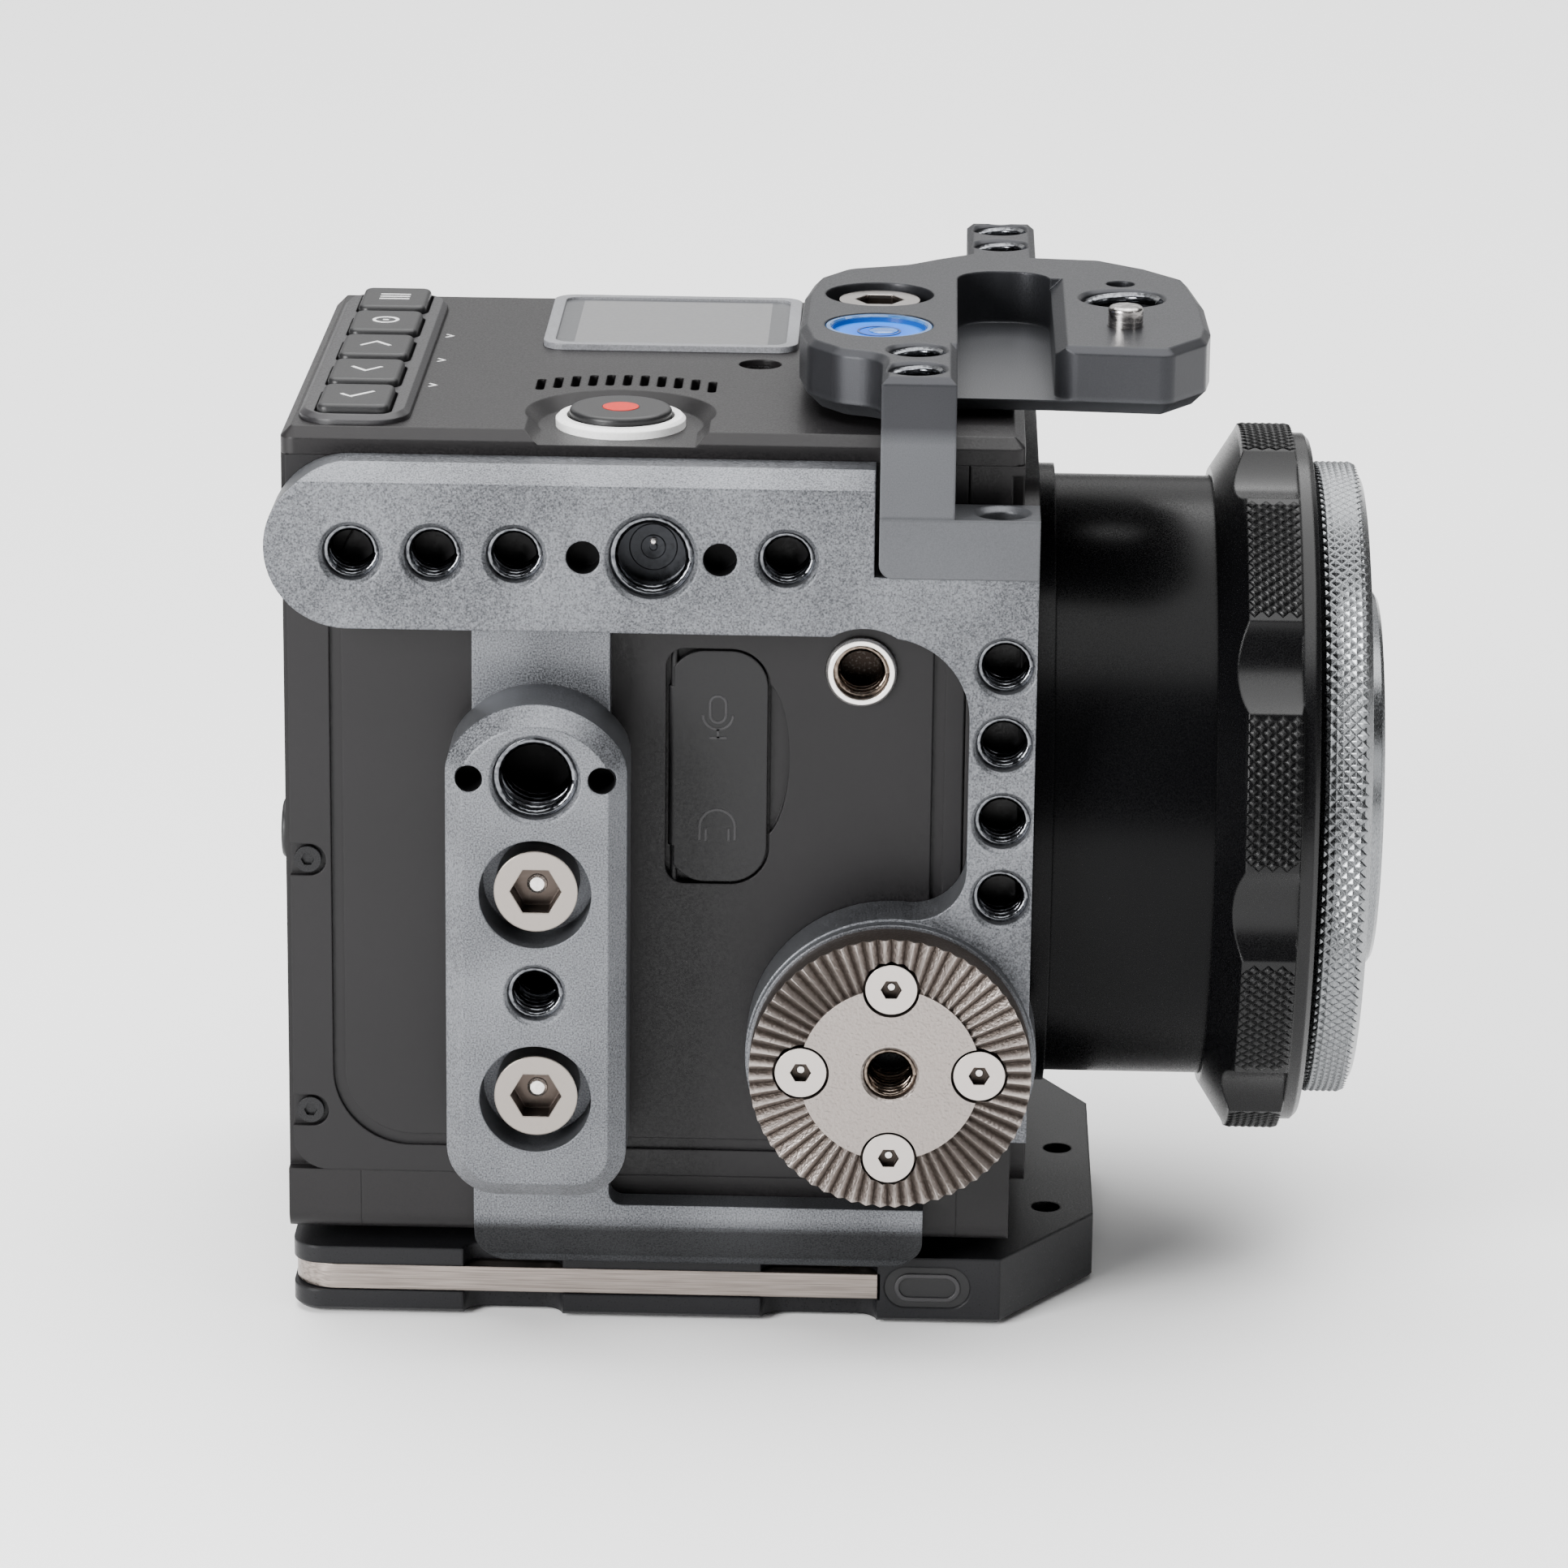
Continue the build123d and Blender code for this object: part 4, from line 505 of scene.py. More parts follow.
def body_finishes(colours):
    # Powder-painted magnesium: deep charcoal with a faint orange-peel.
    SHOP["body"] = speckled("powder_painted_magnesium", "#100f10", colours.body, 0.4, 0.22, bump=0.12,
                            edge_mm=0.3,
                            Specular_IOR_Level=0.26)
    # Painted side sheet: the same paint, flatter.
    SHOP["panel"] = speckled("painted_side_sheet", "#0b0a0b", colours.panel, 0.46, 0.25, bump=0.1,
                             edge_mm=0.25,
                             Specular_IOR_Level=0.3)
    # Moulded black ABS: fine spark-eroded texture.
    SHOP["black"] = speckled("moulded_black_abs", "#121213", "#1a1a1b", 0.45, 0.2, bump=0.1, edge_mm=0.2,
                             Specular_IOR_Level=0.35)
    # Button caps: smooth dark polycarbonate with soft rims.
    SHOP["button"] = speckled("black_polycarbonate", "#151516", "#1e1e1f", 0.38, 0.15, bump=0.05,
                              spread=0.04,
                              Specular_IOR_Level=0.35)
    # Button surround: a shade lighter than the caps.
    SHOP["bezel"] = speckled("grey_polycarbonate", "#1d1c1e", "#262527", 0.4, 0.2, bump=0.06)
    # Light ring round the record button: clean white.
    SHOP["white"] = speckled("white_polycarbonate", "#f2f2f0", "#fbfbfa", 0.3, 0.3, bump=0.03,
                             spread=0.04, edge_mm=0.2)
    # Record dot: soft coral enamel.
    SHOP["red"] = speckled("coral_enamel_dot", "#b81f16", colours.dot, 0.5, 0.2, bump=0.03, spread=0.04,
                           Specular_IOR_Level=0.2)
    # Display frame: silver-grey plastic.
    SHOP["frame"] = speckled("silver_grey_abs", "#66676a", "#85868a", 0.4, 0.2, bump=0.05, spread=0.05)
    # Icons: slightly chalky white ink.
    SHOP["print"] = speckled("white_printing_ink", "#d2d2d2", "#e8e8e8", 0.55, 0.2, bump=0.02, spread=0.04)
    # Port door: soft-touch rubber as dark as the sheet round it.
    SHOP["door"] = speckled("soft_touch_rubber", "#0a0a0b", "#100f11", 0.5, 0.2, bump=0.06,
                            Specular_IOR_Level=0.35)
    # Jack sockets: matte black rubber.
    SHOP["port"] = speckled("black_port_rubber", "#151516", "#1d1d1e", 0.6, 0.2, bump=0.1)


def steel_finishes():
    # A graded finish gives its axis (1 is Y, 2 is Z), then where its painted shade is deepest and where its
    # face is unshaded.
    # Polished stainless steel: bright, with fine turned lines.
    SHOP["steel"] = stretched("polished_stainless_steel", "#8b8886", "#c9c5c2", 0.22, 0.9, (1, 1, 3),
                              bump=0.04, edge_mm=0.3)
    # Cap screws: bright faces, with brown-grey painted shade down in the socket.
    SHOP["bar_screw"] = graded("socket_screw_steel", "#4c443f", "#8f8882", 0.2, 0.5, 1, -47.3 * MM,
                               -47.62 * MM,
                               edge_mm=0.25)
    SHOP["plate_screw"] = graded("plate_screw_steel", "#564d47", "#c4bdb8", 0.22, 0.5, 2,
                                 PLATE_TOP - 1.1 * MM,
                                 PLATE_TOP - 0.75 * MM, edge_mm=0.25)
    # Drill point at the bottom of a socket: one bright spot, a painted glint.
    SHOP["point"] = speckled("drill_point_painted_glint", "#c9c4c0", "#efebe8", 0.22, 0.5, bump=0.02,
                             metal=0.9, edge_mm=0.1)
    # Thread inserts: a steel rim painted near white, partly a painted highlight, over a bore darkened by
    # painted shade.
    SHOP["insert"] = graded("threaded_insert_steel", "#2a2420", "#f2eeea", 0.26, 0.3, 1, -34.3 * MM,
                            -35.1 * MM,
                            edge_mm=0.2)
    # Insert threads: a steel painted darker as painted shade.
    SHOP["insert_cut"] = stretched("insert_thread_painted_shade", "#4a4039", "#8a7d72", 0.2, 0.6, (1, 1, 1),
                                   bump=0.02,
                                   edge_mm=0.05)
    # Investment-cast rosette: warm grey and grainy, with painted shade between the teeth.
    SHOP["rosette"] = graded("cast_stainless_steel", "#564e49", "#968e89", 0.36, 0.36, 1, -46.95 * MM,
                             -47.5 * MM,
                             bump=1.0, edge_mm=0.06, grain_share=0.55)
    # Rosette screws: bright faces, with painted shade down in their sockets.
    SHOP["rosette_screw"] = graded("machined_stainless_steel", "#3d3733", "#b8b1ac", 0.26, 0.6, 1,
                                   -47.1 * MM, -47.3 * MM)
    # Black-oxide screws: dark, slightly oily.
    SHOP["oxide"] = speckled("black_oxide_steel", "#1b1b1c", "#2b2b2c", 0.32, 0.15, bump=0.05,
                             metal=0.8, edge_mm=0.12)
    # Flat key: brushed lines run along the strip.
    SHOP["key"] = stretched("brushed_stainless_strip", "#7a716b", "#aaa099", 0.34, 0.4, (0.04, 1, 2),
                            bump=0.12)


def lens_finishes():
    # Adapter tube: deep black satin that only shines at a slant.
    SHOP["tube"] = speckled("black_anodised_tube", "#050506", "#080809", 0.28, 0.18, bump=0.03, edge_mm=0.3,
                            Specular_IOR_Level=0.08)
    # Lock ring: the same black with slightly livelier edges.
    SHOP["ring"] = speckled("black_anodised_ring", "#050506", "#080809", 0.28, 0.15, bump=0.03,
                            edge_mm=0.35,
                            Specular_IOR_Level=0.24)
    # Base plate: black anodising, a little greyer.
    SHOP["base"] = speckled("black_anodised_base", "#121214", "#1a1a1c", 0.36, 0.2, bump=0.1, edge_mm=0.5,
                            Specular_IOR_Level=0.22)
    # Body cap: bright turned aluminium.
    SHOP["cap"] = stretched("turned_bright_aluminium", "#5c5e60", "#8e9092", 0.24, 0.35, (6, 1, 1),
                            bump=0.06)


def inside_finishes():
    # Circuit boards: green solder mask.
    SHOP["board"] = speckled("green_solder_mask", "#143a28", "#1e5238", 0.35, 0.8, bump=0.1)
    # Sensor: dark blue coated silicon, almost a mirror.
    SHOP["silicon"] = speckled("coated_silicon", "#1d2632", "#2b3848", 0.12, 0.1, bump=0.0)
    # Heat sink: bare extruded aluminium with lines up its fins.
    SHOP["heatsink"] = stretched("bare_extruded_aluminium", "#9a9c9e", "#c8cacc", 0.4, 0.4, (1, 1, 0.05))


GIVEN = {
    "cage": "cage_side_frame accessory_bar",
    "plate": "top_plate",
    "body": "main_housing rear_cover front_plate top_cover",
    "panel": "near_side_panel far_side_panel",
    "bezel": "button_bezel",
    "button": "menu_button function_button up_button down_button ok_button record_button",
    "black": "battery_contact_block battery_release_button display_module key_retainer",
    "door": "port_door",
    "white": "record_ring",
    "red": "record_dot",
    "frame": "display_frame",
    "steel": "locating_pin tripod_insert base_screws key_magnets",
    "bar_screw": "accessory_bar_screws",
    "plate_screw": "top_plate_screw",
    "insert": "side_thread_insert",
    "oxide": "side_panel_screws mount_flange_screws top_thread_insert",
    "rosette": "rosette",
    "rosette_screw": "rosette_screws",
    "key": "stowed_key",
    "tube": "adapter_tube mount_flange",
    "ring": "lock_ring",
    "base": "base_plate",
    "cap": "body_cap",
    "board": "button_board main_board sensor_board",
    "silicon": "image_sensor",
    "heatsink": "heat_sink",
    "port": "microphone_jack headphone_jack",
}


def give(node, material):
    slots = NODES[node].data.materials
    slots.clear()
    slots.append(material)


def screen_glass(node):
    """Cover glass: dark border, lighter sleeping screen inside it."""
    middle = centre(node)
    material, tree, shader, place = start_material("cover_glass_over_screen", 0.3, 0.0, "#6c6d6f",
                                                   Specular_IOR_Level=0.3)
    centred = centred_on(tree, place, middle)
    along, across, _ = add(tree, "ShaderNodeSeparateXYZ", links={0: centred}).outputs
    inside = [work(tree, "LESS_THAN", work(tree, "ABSOLUTE", part), SCREEN_HALF * MM)
              for part in (along, across)]
    both = work(tree, "MULTIPLY", *inside)
    dust = noise(tree, place, 0.5)
    screen = ramp(tree, dust, [(0.3, "#6c6c6d"), (0.7, "#747475")])
    border = ramp(tree, dust, [(0.3, "#4c4d4f"), (0.7, "#545557")])
    tone = add(tree, "ShaderNodeMix", {"data_type": "RGBA"}, {0: both, 6: border, 7: screen}).outputs[2]
    tree.links.new(tone, shader.inputs["Base Color"])
    give(node, material)


# ---- operators ---------------------------------------------------------------------------------
class RIG_OT_finishes(bpy.types.Operator):
    """Make every finish and give it to the CAD pieces"""

    bl_idname = "rig.finishes"
    bl_label = "Finishes"

    def execute(self, context):
        colours = context.scene.rig_colours
        cage_finishes(colours)
        body_finishes(colours)
        steel_finishes()
        lens_finishes()
        inside_finishes()
        for finish, names in GIVEN.items():
            for name in names.split():
                give(name, SHOP[finish])
        screen_glass("display_glass")
        # Filter glass: clear, with the pale blue of an infrared coating.
        coated = tinted("infrared_filter_glass", 0.05, "#8fb6c2", "#86adb8", "#9cc0ca", 6, IOR=1.52,
                        Transmission_Weight=0.7)
        give("sensor_filter_glass", coated)
        return {"FINISHED"}


class RIG_OT_threads(bpy.types.Operator):
    """Cut screw threads into the accessory holes"""

    bl_idname = "rig.threads"
    bl_label = "Threads"

    def execute(self, context):
        sizes = context.scene.rig_sizes
        small, large = (3.175, sizes.small_pitch), (4.7625, sizes.large_pitch)
        tree = thread_tree()
        rail = (RAIL_FACE + 1.0 * MM, 1)
        bar = (BAR_FACE + 0.7 * MM, 1)
        plate = (PLATE_TOP - 0.6 * MM, 2)
        insert = (INSERT_FACE + 0.5 * MM, 1)
        centre_hole = (ROSETTE_FACE + 0.5 * MM, 1)
        cover = (COVER_TOP - 1.2 * MM, 2)
        jobs = [
            ("rail_small_threads", "rail_rear_threads rail_middle_thread rail_front_thread", rail, small, 5.0,
             "cut", "cage_anodised"),
            ("column_threads", "column_upper_threads column_lower_threads", rail, small, 5.0,
             "cut", "cage_anodised"),
            ("rail_large_thread", "rail_large_thread", rail, large, 4.0, "cut", "cage_anodised"),
            ("bar_small_thread", "bar_small_thread", bar, small, 8.5, "cut", "cage_anodised"),
            ("bar_large_thread", "bar_large_thread", bar, large, 8.5, "cut", "cage_anodised"),
            ("side_insert_thread", "side_thread", insert, small, 4.5, "insert_cut", "steel"),
            ("arm_threads", "near_arm_threads far_arm_threads", plate, small, 6.0, "cut", "plate_anodised"),
            ("pad_large_thread", "pad_large_thread", plate, large, 6.0, "cut", "plate_anodised"),
            ("rosette_thread", "rosette_thread", centre_hole, (3.0, 1.0 * MM), 8.5, "insert_cut", "steel"),
            ("top_insert_thread", "top_thread", cover, (2.5, 0.8 * MM), 3.6, "steel", "steel"),
        ]
        for name, mounts, (face, axis), (radius, pitch), depth, finish, slot in jobs:
            values = {
                "Radius": radius * MM - RIDGE_INSET * pitch, "Pitch": pitch, "Depth": depth * MM,
                "Ridge share": RIDGE_SHARE, "Turn": INWARDS if axis == 1 else DOWNWARDS,
                "Material": SHOP[finish]}
            grow(name, hole_places(mounts.split(), face, axis), tree, values, "camera")
        return {"FINISHED"}


class RIG_OT_bores(bpy.types.Operator):
    """Line the blind holes and put drill points into the hex sockets"""

    bl_idname = "rig.bores"
    bl_label = "Bores"

    def execute(self, context):
        large = Vector(MOUNTS["rail_large_thread"]["pos_m"])
        upper, lower = (Vector(MOUNTS[name]["pos_m"]) for name in ("bar_large_thread", "bar_small_thread"))
        # Drilled floor of the blind hole: tool rings under painted shade, and the small point the drill left,
        # painted bright as a glint.
        rings = [(0, 0.2), (0.34, 0.2), (0.5, 0.12), (1.3, 0.2), (1.4, 0.12), (2.6, 0.2), (2.7, 0.12),
                 (4.0, 0.24), (4.45, 0.5), (4.7, 0.7), (4.7, 0), (0, 0)]
        self.turned("rail_drilled_floor", rings, large.x, RAIL_FACE + BLIND_DEPTH * MM, large.z, "drilled")
        nib = [(0, 0.5), (0.25, 0.46), (0.4, 0.3), (0.4, 0), (0, 0)]
        self.turned("rail_drill_point", nib, large.x, RAIL_FACE + 5.3 * MM, large.z + 0.7 * MM, "point")
        # A thin dark cup lines each small blind hole: painted shade inside it.
        for label, face, middle, offset, radius, depth in (
                ("rail", RAIL_FACE, large, RAIL_LOCATOR_OFFSET, 1.88, 3.4),
                ("bar", BAR_FACE, upper, BAR_LOCATOR_OFFSET, 1.53, 4.9)):
            inner, mouth = radius - 0.06, depth - 0.15
            cup = [(0, 0.1), (inner, 0.1), (inner, mouth), (radius, mouth), (radius, 0), (0, 0)]
            for number, side in ((1, -1), (2, 1)):
                x = middle.x + side * offset * MM
                self.turned(f"{label}_cup_{number}", cup, x, face + depth * MM, middle.z, "shade")
        # The bar's two through holes end on the strap behind it, where a dark disc is painted shade.
        for name, middle, radius in (("bar_large_shade_disc", upper, 4.6), ("bar_small_shade_disc", lower, 3.05)):
            disc = [(0, 0.1), (radius, 0.1), (radius, 0), (0, 0)]
            self.turned(name, disc, middle.x, BAR_FACE + BAR_DEPTH * MM, middle.z, "shade")
        # Drill points at the bottom of the hex sockets, painted bright as glints.
        cone = [(0, 0.34), (0.8, 0.3), (1.1, 0.12), (1.15, 0), (0, 0)]
        heights = (BAR_SCREWS_HIGH.z - SCREW_HEAD_R, BAR_SCREWS_LOW.z + SCREW_HEAD_R)
        for number, z in enumerate(heights, 1):
            self.turned(f"bar_screw_point_{number}", cone, upper.x, BAR_FACE + SOCKET_DEPTH * MM, z, "point")
        middle = centre("rosette")
        # Drill dimples in the rosette screws' sockets, painted bright as glints.
        dimple = [(0, 0.16), (0.4, 0.12), (0.5, 0), (0, 0)]
        for index in range(4):
            x = middle.x + ROSETTE_SCREW_CIRCLE * MM * math.cos(index * math.pi / 2)
            z = middle.z + ROSETTE_SCREW_CIRCLE * MM * math.sin(index * math.pi / 2)
            self.turned(f"rosette_screw_point_{index}", dimple, x, ROSETTE_FACE + 1.38 * MM, z, "point")
        return {"FINISHED"}

    def turned(self, name, profile, x, y, z, finish):
        """A small turned piece that faces the near side; its profile is in millimetres."""
        mesh = lathe([(radius * MM, height * MM) for radius, height in profile], 48)
        placed(mesh, x, y, z, TO_NEAR_SIDE)
        keep(name, mesh, "camera", SHOP[finish])


class RIG_OT_knurls(bpy.types.Operator):
    """Raise the diamond knurls of the body cap and the lock ring"""

    bl_idname = "rig.knurls"
    bl_label = "Knurls"

    def execute(self, context):
        sizes = context.scene.rig_sizes
        tree = knurl_tree()
        cap_rows = 6
        grow("cap_knurl", [(0, 0, 0)], tree, {
            "Radius": CAP_R, "Count": int(math.tau * CAP_R / sizes.knurl_pitch), "Rows": cap_rows,
            "Start X": CAP_LOW.x + CAP_KNURL_START * MM, "Row step": CAP_KNURL_WIDTH * MM / cap_rows,
            "Diamond": sizes.knurl_pitch * 0.6, "Height": 0.36 * MM, "Centre Z": LENS_Z, "Sector": math.tau,
            "Open half": 0.0, "Phase": 0.0, "Material": SHOP["cap"]}, "body_cap")
        grow("ring_knurl", [(0, 0, 0)], tree, {
            "Radius": RING_R, "Count": int(math.tau * RING_R / sizes.ring_pitch), "Rows": 7,
            "Start X": RING_LOW.x + RING_KNURL_START * MM, "Row step": RING_ROW_STEP * MM,
            "Diamond": sizes.ring_pitch * 0.6, "Height": 0.22 * MM, "Centre Z": LENS_Z,
            "Sector": math.tau / SCALLOPS, "Open half": math.radians(8.6), "Phase": math.radians(186.0),
            "Material": SHOP["ring"]},
            "lock_ring")
        return {"FINISHED"}


class RIG_OT_icons(bpy.types.Operator):
    """Draw generic icons on the buttons, the cover, the retainer and the port door"""

    bl_idname = "rig.icons"
    bl_label = "Icons"

    def execute(self, context):
        drawings = {
            "menu_button": [[(-1.8, 1.2), (1.8, 1.2)], [(-1.8, 0), (1.8, 0)], [(-1.8, -1.2), (1.8, -1.2)]],
            "function_button": [arc(0, 0, 1.4, 0, 360, 24), [(-0.35, 0), (0.35, 0)]],
            "up_button": [[(-1.7, -0.9), (0, 1.1), (1.7, -0.9)]],
            "down_button": [[(-1.7, 0.9), (0, -1.1), (1.7, 0.9)]],
            "ok_button": [[(-1.7, 0.1), (-0.5, -1.2), (1.9, 1.4)]],
        }
        for node, lines in drawings.items():
            middle = centre(node)
            mesh = placed(strokes(lines, 0.42, 0.06), middle.x, middle.y, BUTTON_TOP - 0.02 * MM)
            keep(node.replace("_button", "_icon"), mesh, node, SHOP["print"])
        # One small arrow beside each of the three middle buttons.
        ticks = []
        for node in ("function_button", "up_button", "down_button"):
            x, y = centre(node).x / MM + 7.1, centre(node).y / MM + 0.6
            ticks.append([(x, y - 0.8), (x + 0.8, y), (x, y + 0.8)])
        mesh = placed(strokes(ticks, 0.3, 0.05), 0, 0, COVER_TOP - 0.01 * MM)
        keep("cover_ticks", mesh, "camera", SHOP["print"])
        self.retainer_rim()
        self.door_icons()
        return {"FINISHED"}

    def retainer_rim(self):
        """Raised stadium on the black retainer, in a lighter grey that is a painted highlight along its rim.
        """
        outline = [(2.1, 1.45)] + arc(-2.1, 0, 1.45, 90, 270, 16) + arc(2.1, 0, 1.45, -90, 90, 16)
        middle = centre("key_retainer")
        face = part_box("key_retainer")[0].y
        mesh = placed(strokes([outline], 0.5, 0.22), middle.x, face + 0.02 * MM, middle.z, TO_NEAR_SIDE)
        keep("retainer_rim", mesh, "camera", SHOP["bezel"])

    def door_icons(self):
        """A microphone over its jack and headphones over theirs."""
        capsule = [arc(0, 1.0, 0.9, 0, 180), [(-0.9, 1.0), (-0.9, -0.3)], [(0.9, 1.0), (0.9, -0.3)],
                   arc(0, -0.3, 0.9, 180, 360)]
        stand = [arc(0, -0.3, 1.7, 180, 360), [(0, -2.0), (0, -3.0)], [(-1.0, -3.0), (1.0, -3.0)]]
        headband = [arc(0, 0, 2.0, 0, 180), [(-2.0, 0), (-2.0, -1.6)], [(2.0, 0), (2.0, -1.6)]]
        cups = [[(-1.3, -0.2), (-1.3, -1.7)], [(1.3, -0.2), (1.3, -1.7)]]
        door = centre("port_door")
        icons = {"microphone_icon": (capsule + stand, 6.4), "headphone_icon": (headband + cups, -7.1)}
        for name, (lines, rise) in icons.items():
            height = door.z + rise * MM
            mesh = placed(strokes(lines, 0.32, 0.05), door.x, DOOR_FACE + 0.01 * MM, height, TO_NEAR_SIDE)
            keep(name, mesh, "port_door", SHOP["bezel"])


class RIG_OT_level(bpy.types.Operator):
    """Build the bubble level in place of its plain CAD disc"""

    bl_idname = "rig.level"
    bl_label = "Bubble level"

    def execute(self, context):
        low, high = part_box("bubble_level")
        middle = (low + high) / 2
        radius = (high.x - low.x) / (2 * MM)
        height = (high.z - low.z) / MM
        vial = [(0, 0), (radius, 0), (radius, height - 0.7), (radius - 0.35, height - 0.25),
                (radius - 0.9, height - 0.2), (radius - 1.0, height - 0.6), (0, height - 0.55)]
        liquid = self.liquid(middle, radius * MM, context)
        piece = self.turned("level_vial", vial, middle, low.z, liquid, 72)
        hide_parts("bubble_level")
        rim = [(radius - 0.75, 0), (radius, 0), (radius, 0.5), (radius - 0.2, 0.7), (radius - 0.6, 0.7),
               (radius - 0.75, 0.5), (radius - 0.75, 0)]
        # Clear acrylic rim: takes the deep blue of the liquid below it.
        clear = tinted("clear_acrylic_rim", 0.15, "#2f5c92", "#27507f", "#3d6ea6", 1.5, Coat_Weight=0.3)
        self.turned("level_rim", rim, middle, high.z - 0.6 * MM, clear, 72)
        # Printed ring: a thin navy line.
        navy = tinted("printed_level_ring", 0.4, "#0b2c63", "#0a2757", "#0f3472", 0.4)
        mark = [(2.25, 0), (2.5, 0), (2.5, 0.06), (2.25, 0.06), (2.25, 0)]
        self.turned("level_mark", mark, middle, high.z - 0.56 * MM, navy, 48)
        # Bubble: the same blue, glossier, a little off the middle.
        air = tinted("air_bubble", 0.12, "#1c63b4", "#17559c", "#2a74c6", 1, Coat_Weight=0.4)
        dome = [(0, 0), (1.7, 0), (1.6, 0.08), (1.1, 0.16), (0, 0.2)]
        aside = middle + Vector((0.5, 0.4, 0)) * MM
        self.turned("level_bubble", dome, aside, high.z - 0.56 * MM, air, 40, smooth=True)
        return {"FINISHED"}

    def liquid(self, middle, radius, context):
        """Dyed spirit under acrylic: saturated blue that darkens at the rim."""
        blue = context.scene.rig_colours.level
        material, tree, shader, place = start_material("dyed_level_liquid", 0.3, 0.0, blue,
                                                       Specular_IOR_Level=0.06)
        centred = centred_on(tree, place, middle)
        level_only = {"operation": "MULTIPLY", 1: (1, 1, 0)}
        flat = add(tree, "ShaderNodeVectorMath", level_only, {0: centred}).outputs[0]
        length = add(tree, "ShaderNodeVectorMath", {"operation": "LENGTH"}, {0: flat}).outputs["Value"]
        share = work(tree, "DIVIDE", length, radius)
        tone = ramp(tree, share, [(0.0, "#0a58c4"), (0.35, blue), (0.72, "#1a78e6"), (0.86, "#083c86")])
        tree.links.new(tone, shader.inputs["Base Color"])
        return material

    def turned(self, name, profile, middle, z, material, steps, smooth=False):
        mesh = lathe([(radius * MM, height * MM) for radius, height in profile], steps)
        placed(mesh, middle.x, middle.y, z)
        return keep(name, mesh, "camera", material, smooth)


# Lights: name, place, aim, size in metres, power in watts. The backdrop gives the tops their sheen.
LIGHTS = (
    ("overhead_light", (0.1, 0.35, 1.5), (0.05, 0.3, 0), (2.4, 2.2), 92),
    ("backdrop_light", (0.0, 1.9, 1.15), (0, 0, 0.1), (3.4, 1.6), 16),
    ("front_light", (-0.36, -0.45, 0.25), (0, 0, 0.06), (0.22, 0.3), 7),
    ("side_light", (1.4, -0.9, 0.5), (0.03, 0, 0.06), (0.3, 0.6), 2),
)
FLOOR_HALF = 15.0
PAPER_CLOUD = 1000 / 3  # size of the floor paper's faint clouds, in millimetres
CAMERA_PLACE = (0.02697807, -0.69709121, 0.26935996)
CAMERA_YAW, CAMERA_PITCH, CAMERA_ROLL = -0.02302619, 0.29812100, 0.01153531
SENSOR_MM = 36.0
FOCAL_SHARE = 7553.25 / 1932  # focal length as a share of the frame's width


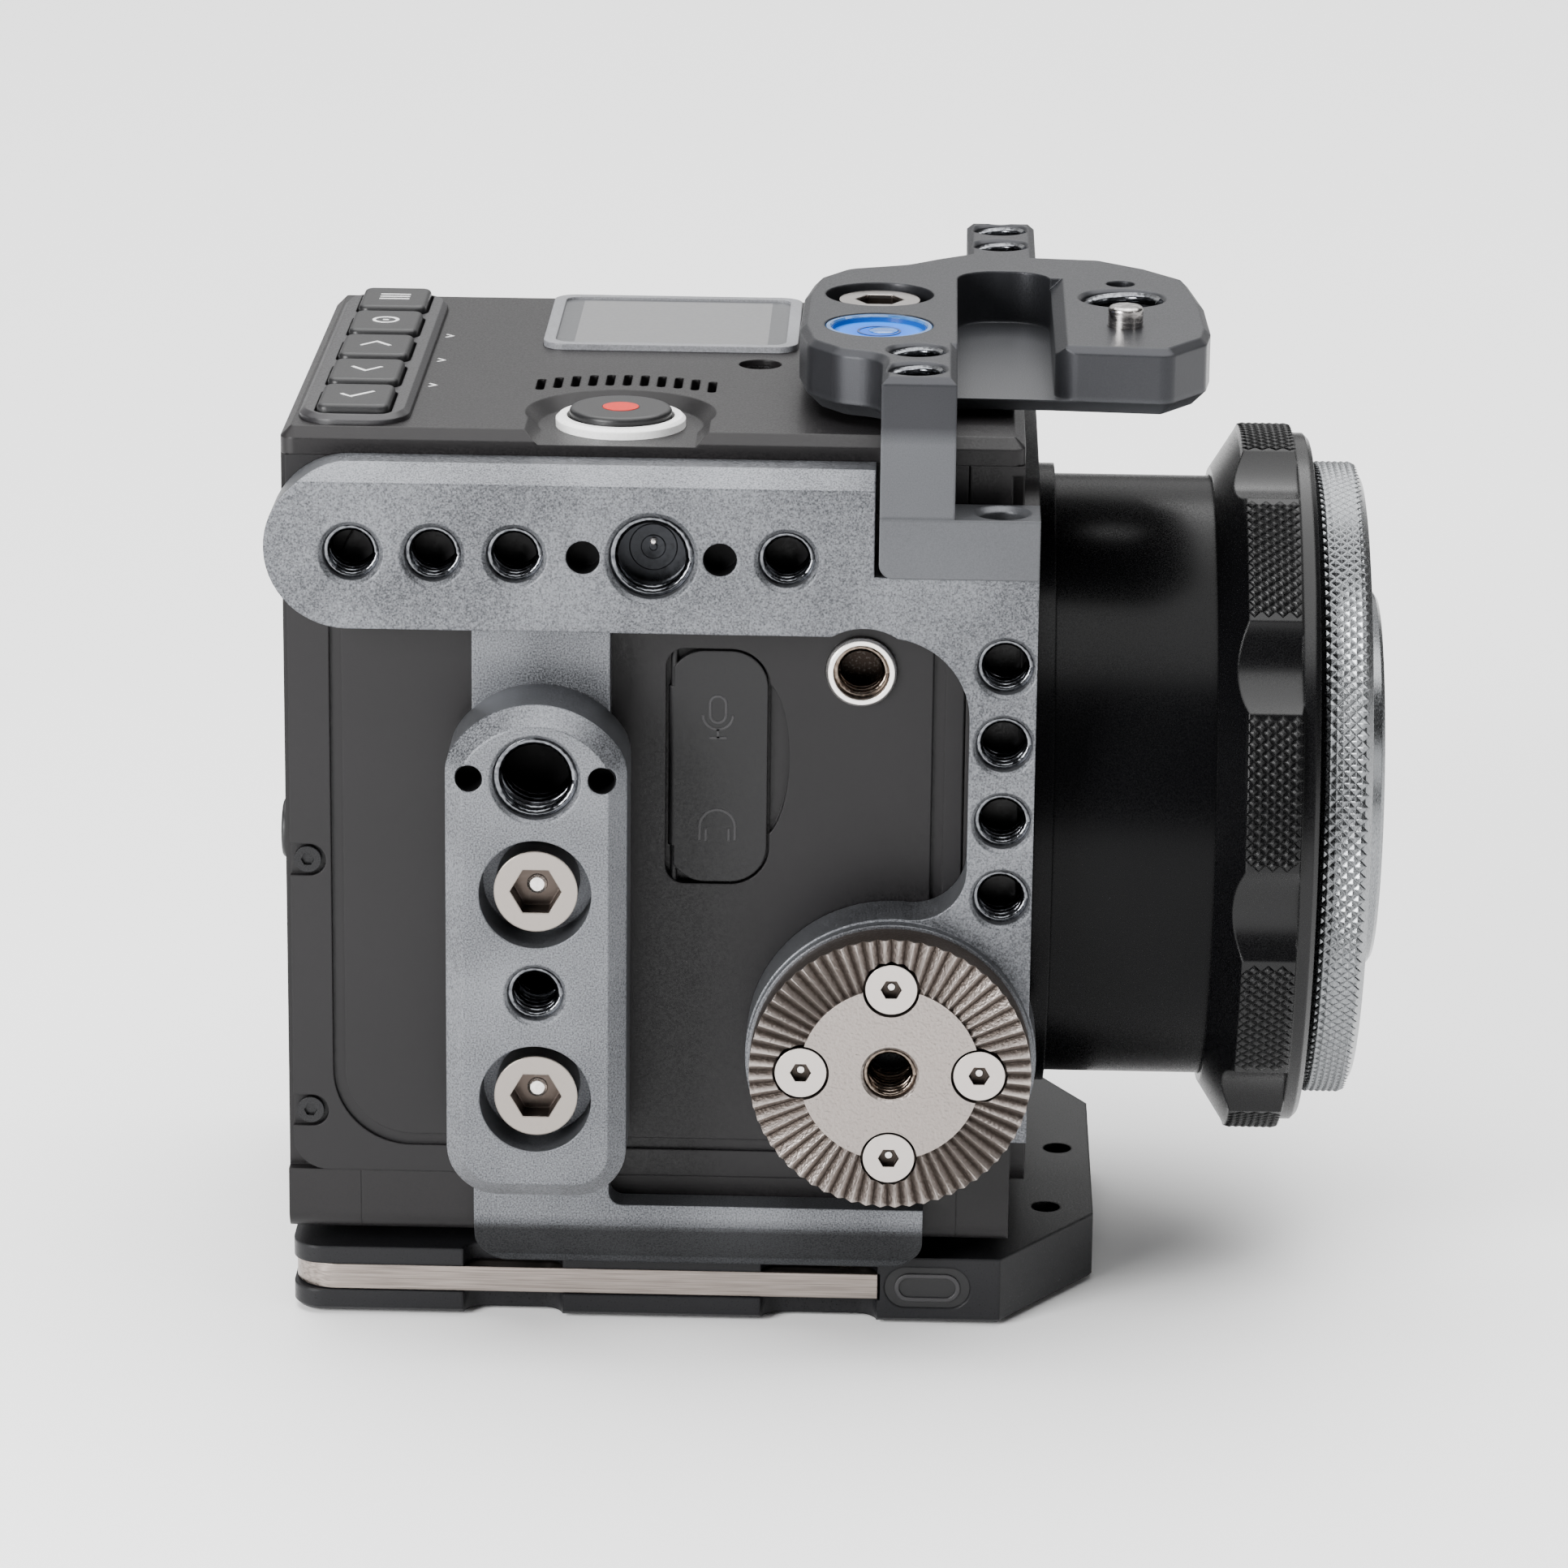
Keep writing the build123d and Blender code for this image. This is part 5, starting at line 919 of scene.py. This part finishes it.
class RIG_OT_stage(bpy.types.Operator):
    """Lay the floor, hang the lights and set the camera"""

    bl_idname = "rig.stage"
    bl_label = "Stage"

    def execute(self, context):
        self.floor(context.scene)
        world = bpy.data.worlds.new("studio")
        world.use_nodes = True
        background = world.node_tree.nodes["Background"]
        background.inputs[0].default_value = (1, 1, 1, 1)
        background.inputs[1].default_value = 0.12
        context.scene.world = world
        for name, place, aim, (width, height), power in LIGHTS:
            lamp = bpy.data.lights.new(name, "AREA")
            lamp.energy = power
            lamp.shape = "RECTANGLE"
            lamp.size, lamp.size_y = width, height
            item = bpy.data.objects.new(name, lamp)
            context.scene.collection.objects.link(item)
            item.location = place
            item.rotation_euler = (Vector(aim) - Vector(place)).to_track_quat("-Z", "Y").to_euler()
        self.camera(context.scene)
        return {"FINISHED"}

    def floor(self, scene):
        """Matte white paper, half a millimetre under the base."""
        corners = [(x * FLOOR_HALF, y * FLOOR_HALF, 0) for x, y in ((-1, -1), (1, -1), (1, 1), (-1, 1))]
        mesh = bpy.data.meshes.new("floor")
        mesh.from_pydata(corners, [], [(0, 1, 2, 3)])
        floor = bpy.data.objects.new("floor", mesh)
        floor.location.z = -0.5 * MM
        scene.collection.objects.link(floor)
        material, tree, shader, place = start_material("matte_paper", 0.9, 0.0, "#fafafa")
        tone = ramp(tree, noise(tree, place, PAPER_CLOUD), [(0.2, "#f8f8f8"), (0.8, "#fcfcfc")])
        tree.links.new(tone, shader.inputs["Base Color"])
        mesh.materials.append(material)

    def camera(self, scene):
        lens = bpy.data.cameras.new("view_camera")
        lens.sensor_width = SENSOR_MM
        lens.lens = SENSOR_MM * FOCAL_SHARE
        lens.clip_end = 20
        eye = bpy.data.objects.new("view_camera", lens)
        scene.collection.objects.link(eye)
        flat = Vector((math.sin(CAMERA_YAW), math.cos(CAMERA_YAW), 0))
        ahead = flat * math.cos(CAMERA_PITCH) - Vector((0, 0, math.sin(CAMERA_PITCH)))
        right = Vector((flat.y, -flat.x, 0))
        up = right.cross(ahead)
        across = math.cos(CAMERA_ROLL) * right + math.sin(CAMERA_ROLL) * up
        upward = -math.sin(CAMERA_ROLL) * right + math.cos(CAMERA_ROLL) * up
        turn = Matrix((across, upward, -ahead)).transposed().to_4x4()
        eye.matrix_world = Matrix.Translation(CAMERA_PLACE) @ turn
        scene.camera = eye


class RIG_PT_panel(bpy.types.Panel):
    """Lists the settings and steps of the rig"""

    bl_label = "Camera rig"
    bl_idname = "RIG_PT_panel"
    bl_space_type = "VIEW_3D"
    bl_region_type = "UI"
    bl_category = "Camera Rig"

    def draw(self, context):
        for group in (context.scene.rig_colours, context.scene.rig_sizes):
            for key in group.__annotations__:
                self.layout.prop(group, key)
        for step in STEPS:
            self.layout.operator(step.bl_idname)


STEPS = (
    RIG_OT_finishes, RIG_OT_threads, RIG_OT_bores, RIG_OT_knurls, RIG_OT_icons, RIG_OT_level, RIG_OT_stage)
CLASSES = (RigColours, RigSizes, *STEPS, RIG_PT_panel)


def register():
    for item in CLASSES:
        bpy.utils.register_class(item)
    bpy.types.Scene.rig_colours = bpy.props.PointerProperty(type=RigColours)
    bpy.types.Scene.rig_sizes = bpy.props.PointerProperty(type=RigSizes)


def unregister():
    del bpy.types.Scene.rig_sizes
    del bpy.types.Scene.rig_colours
    for item in reversed(CLASSES):
        bpy.utils.unregister_class(item)


def main():
    register()
    bpy.ops.rig.finishes()
    bpy.ops.rig.threads()
    bpy.ops.rig.bores()
    bpy.ops.rig.knurls()
    bpy.ops.rig.icons()
    bpy.ops.rig.level()
    bpy.ops.rig.stage()


if __name__ == "__main__":
    main()
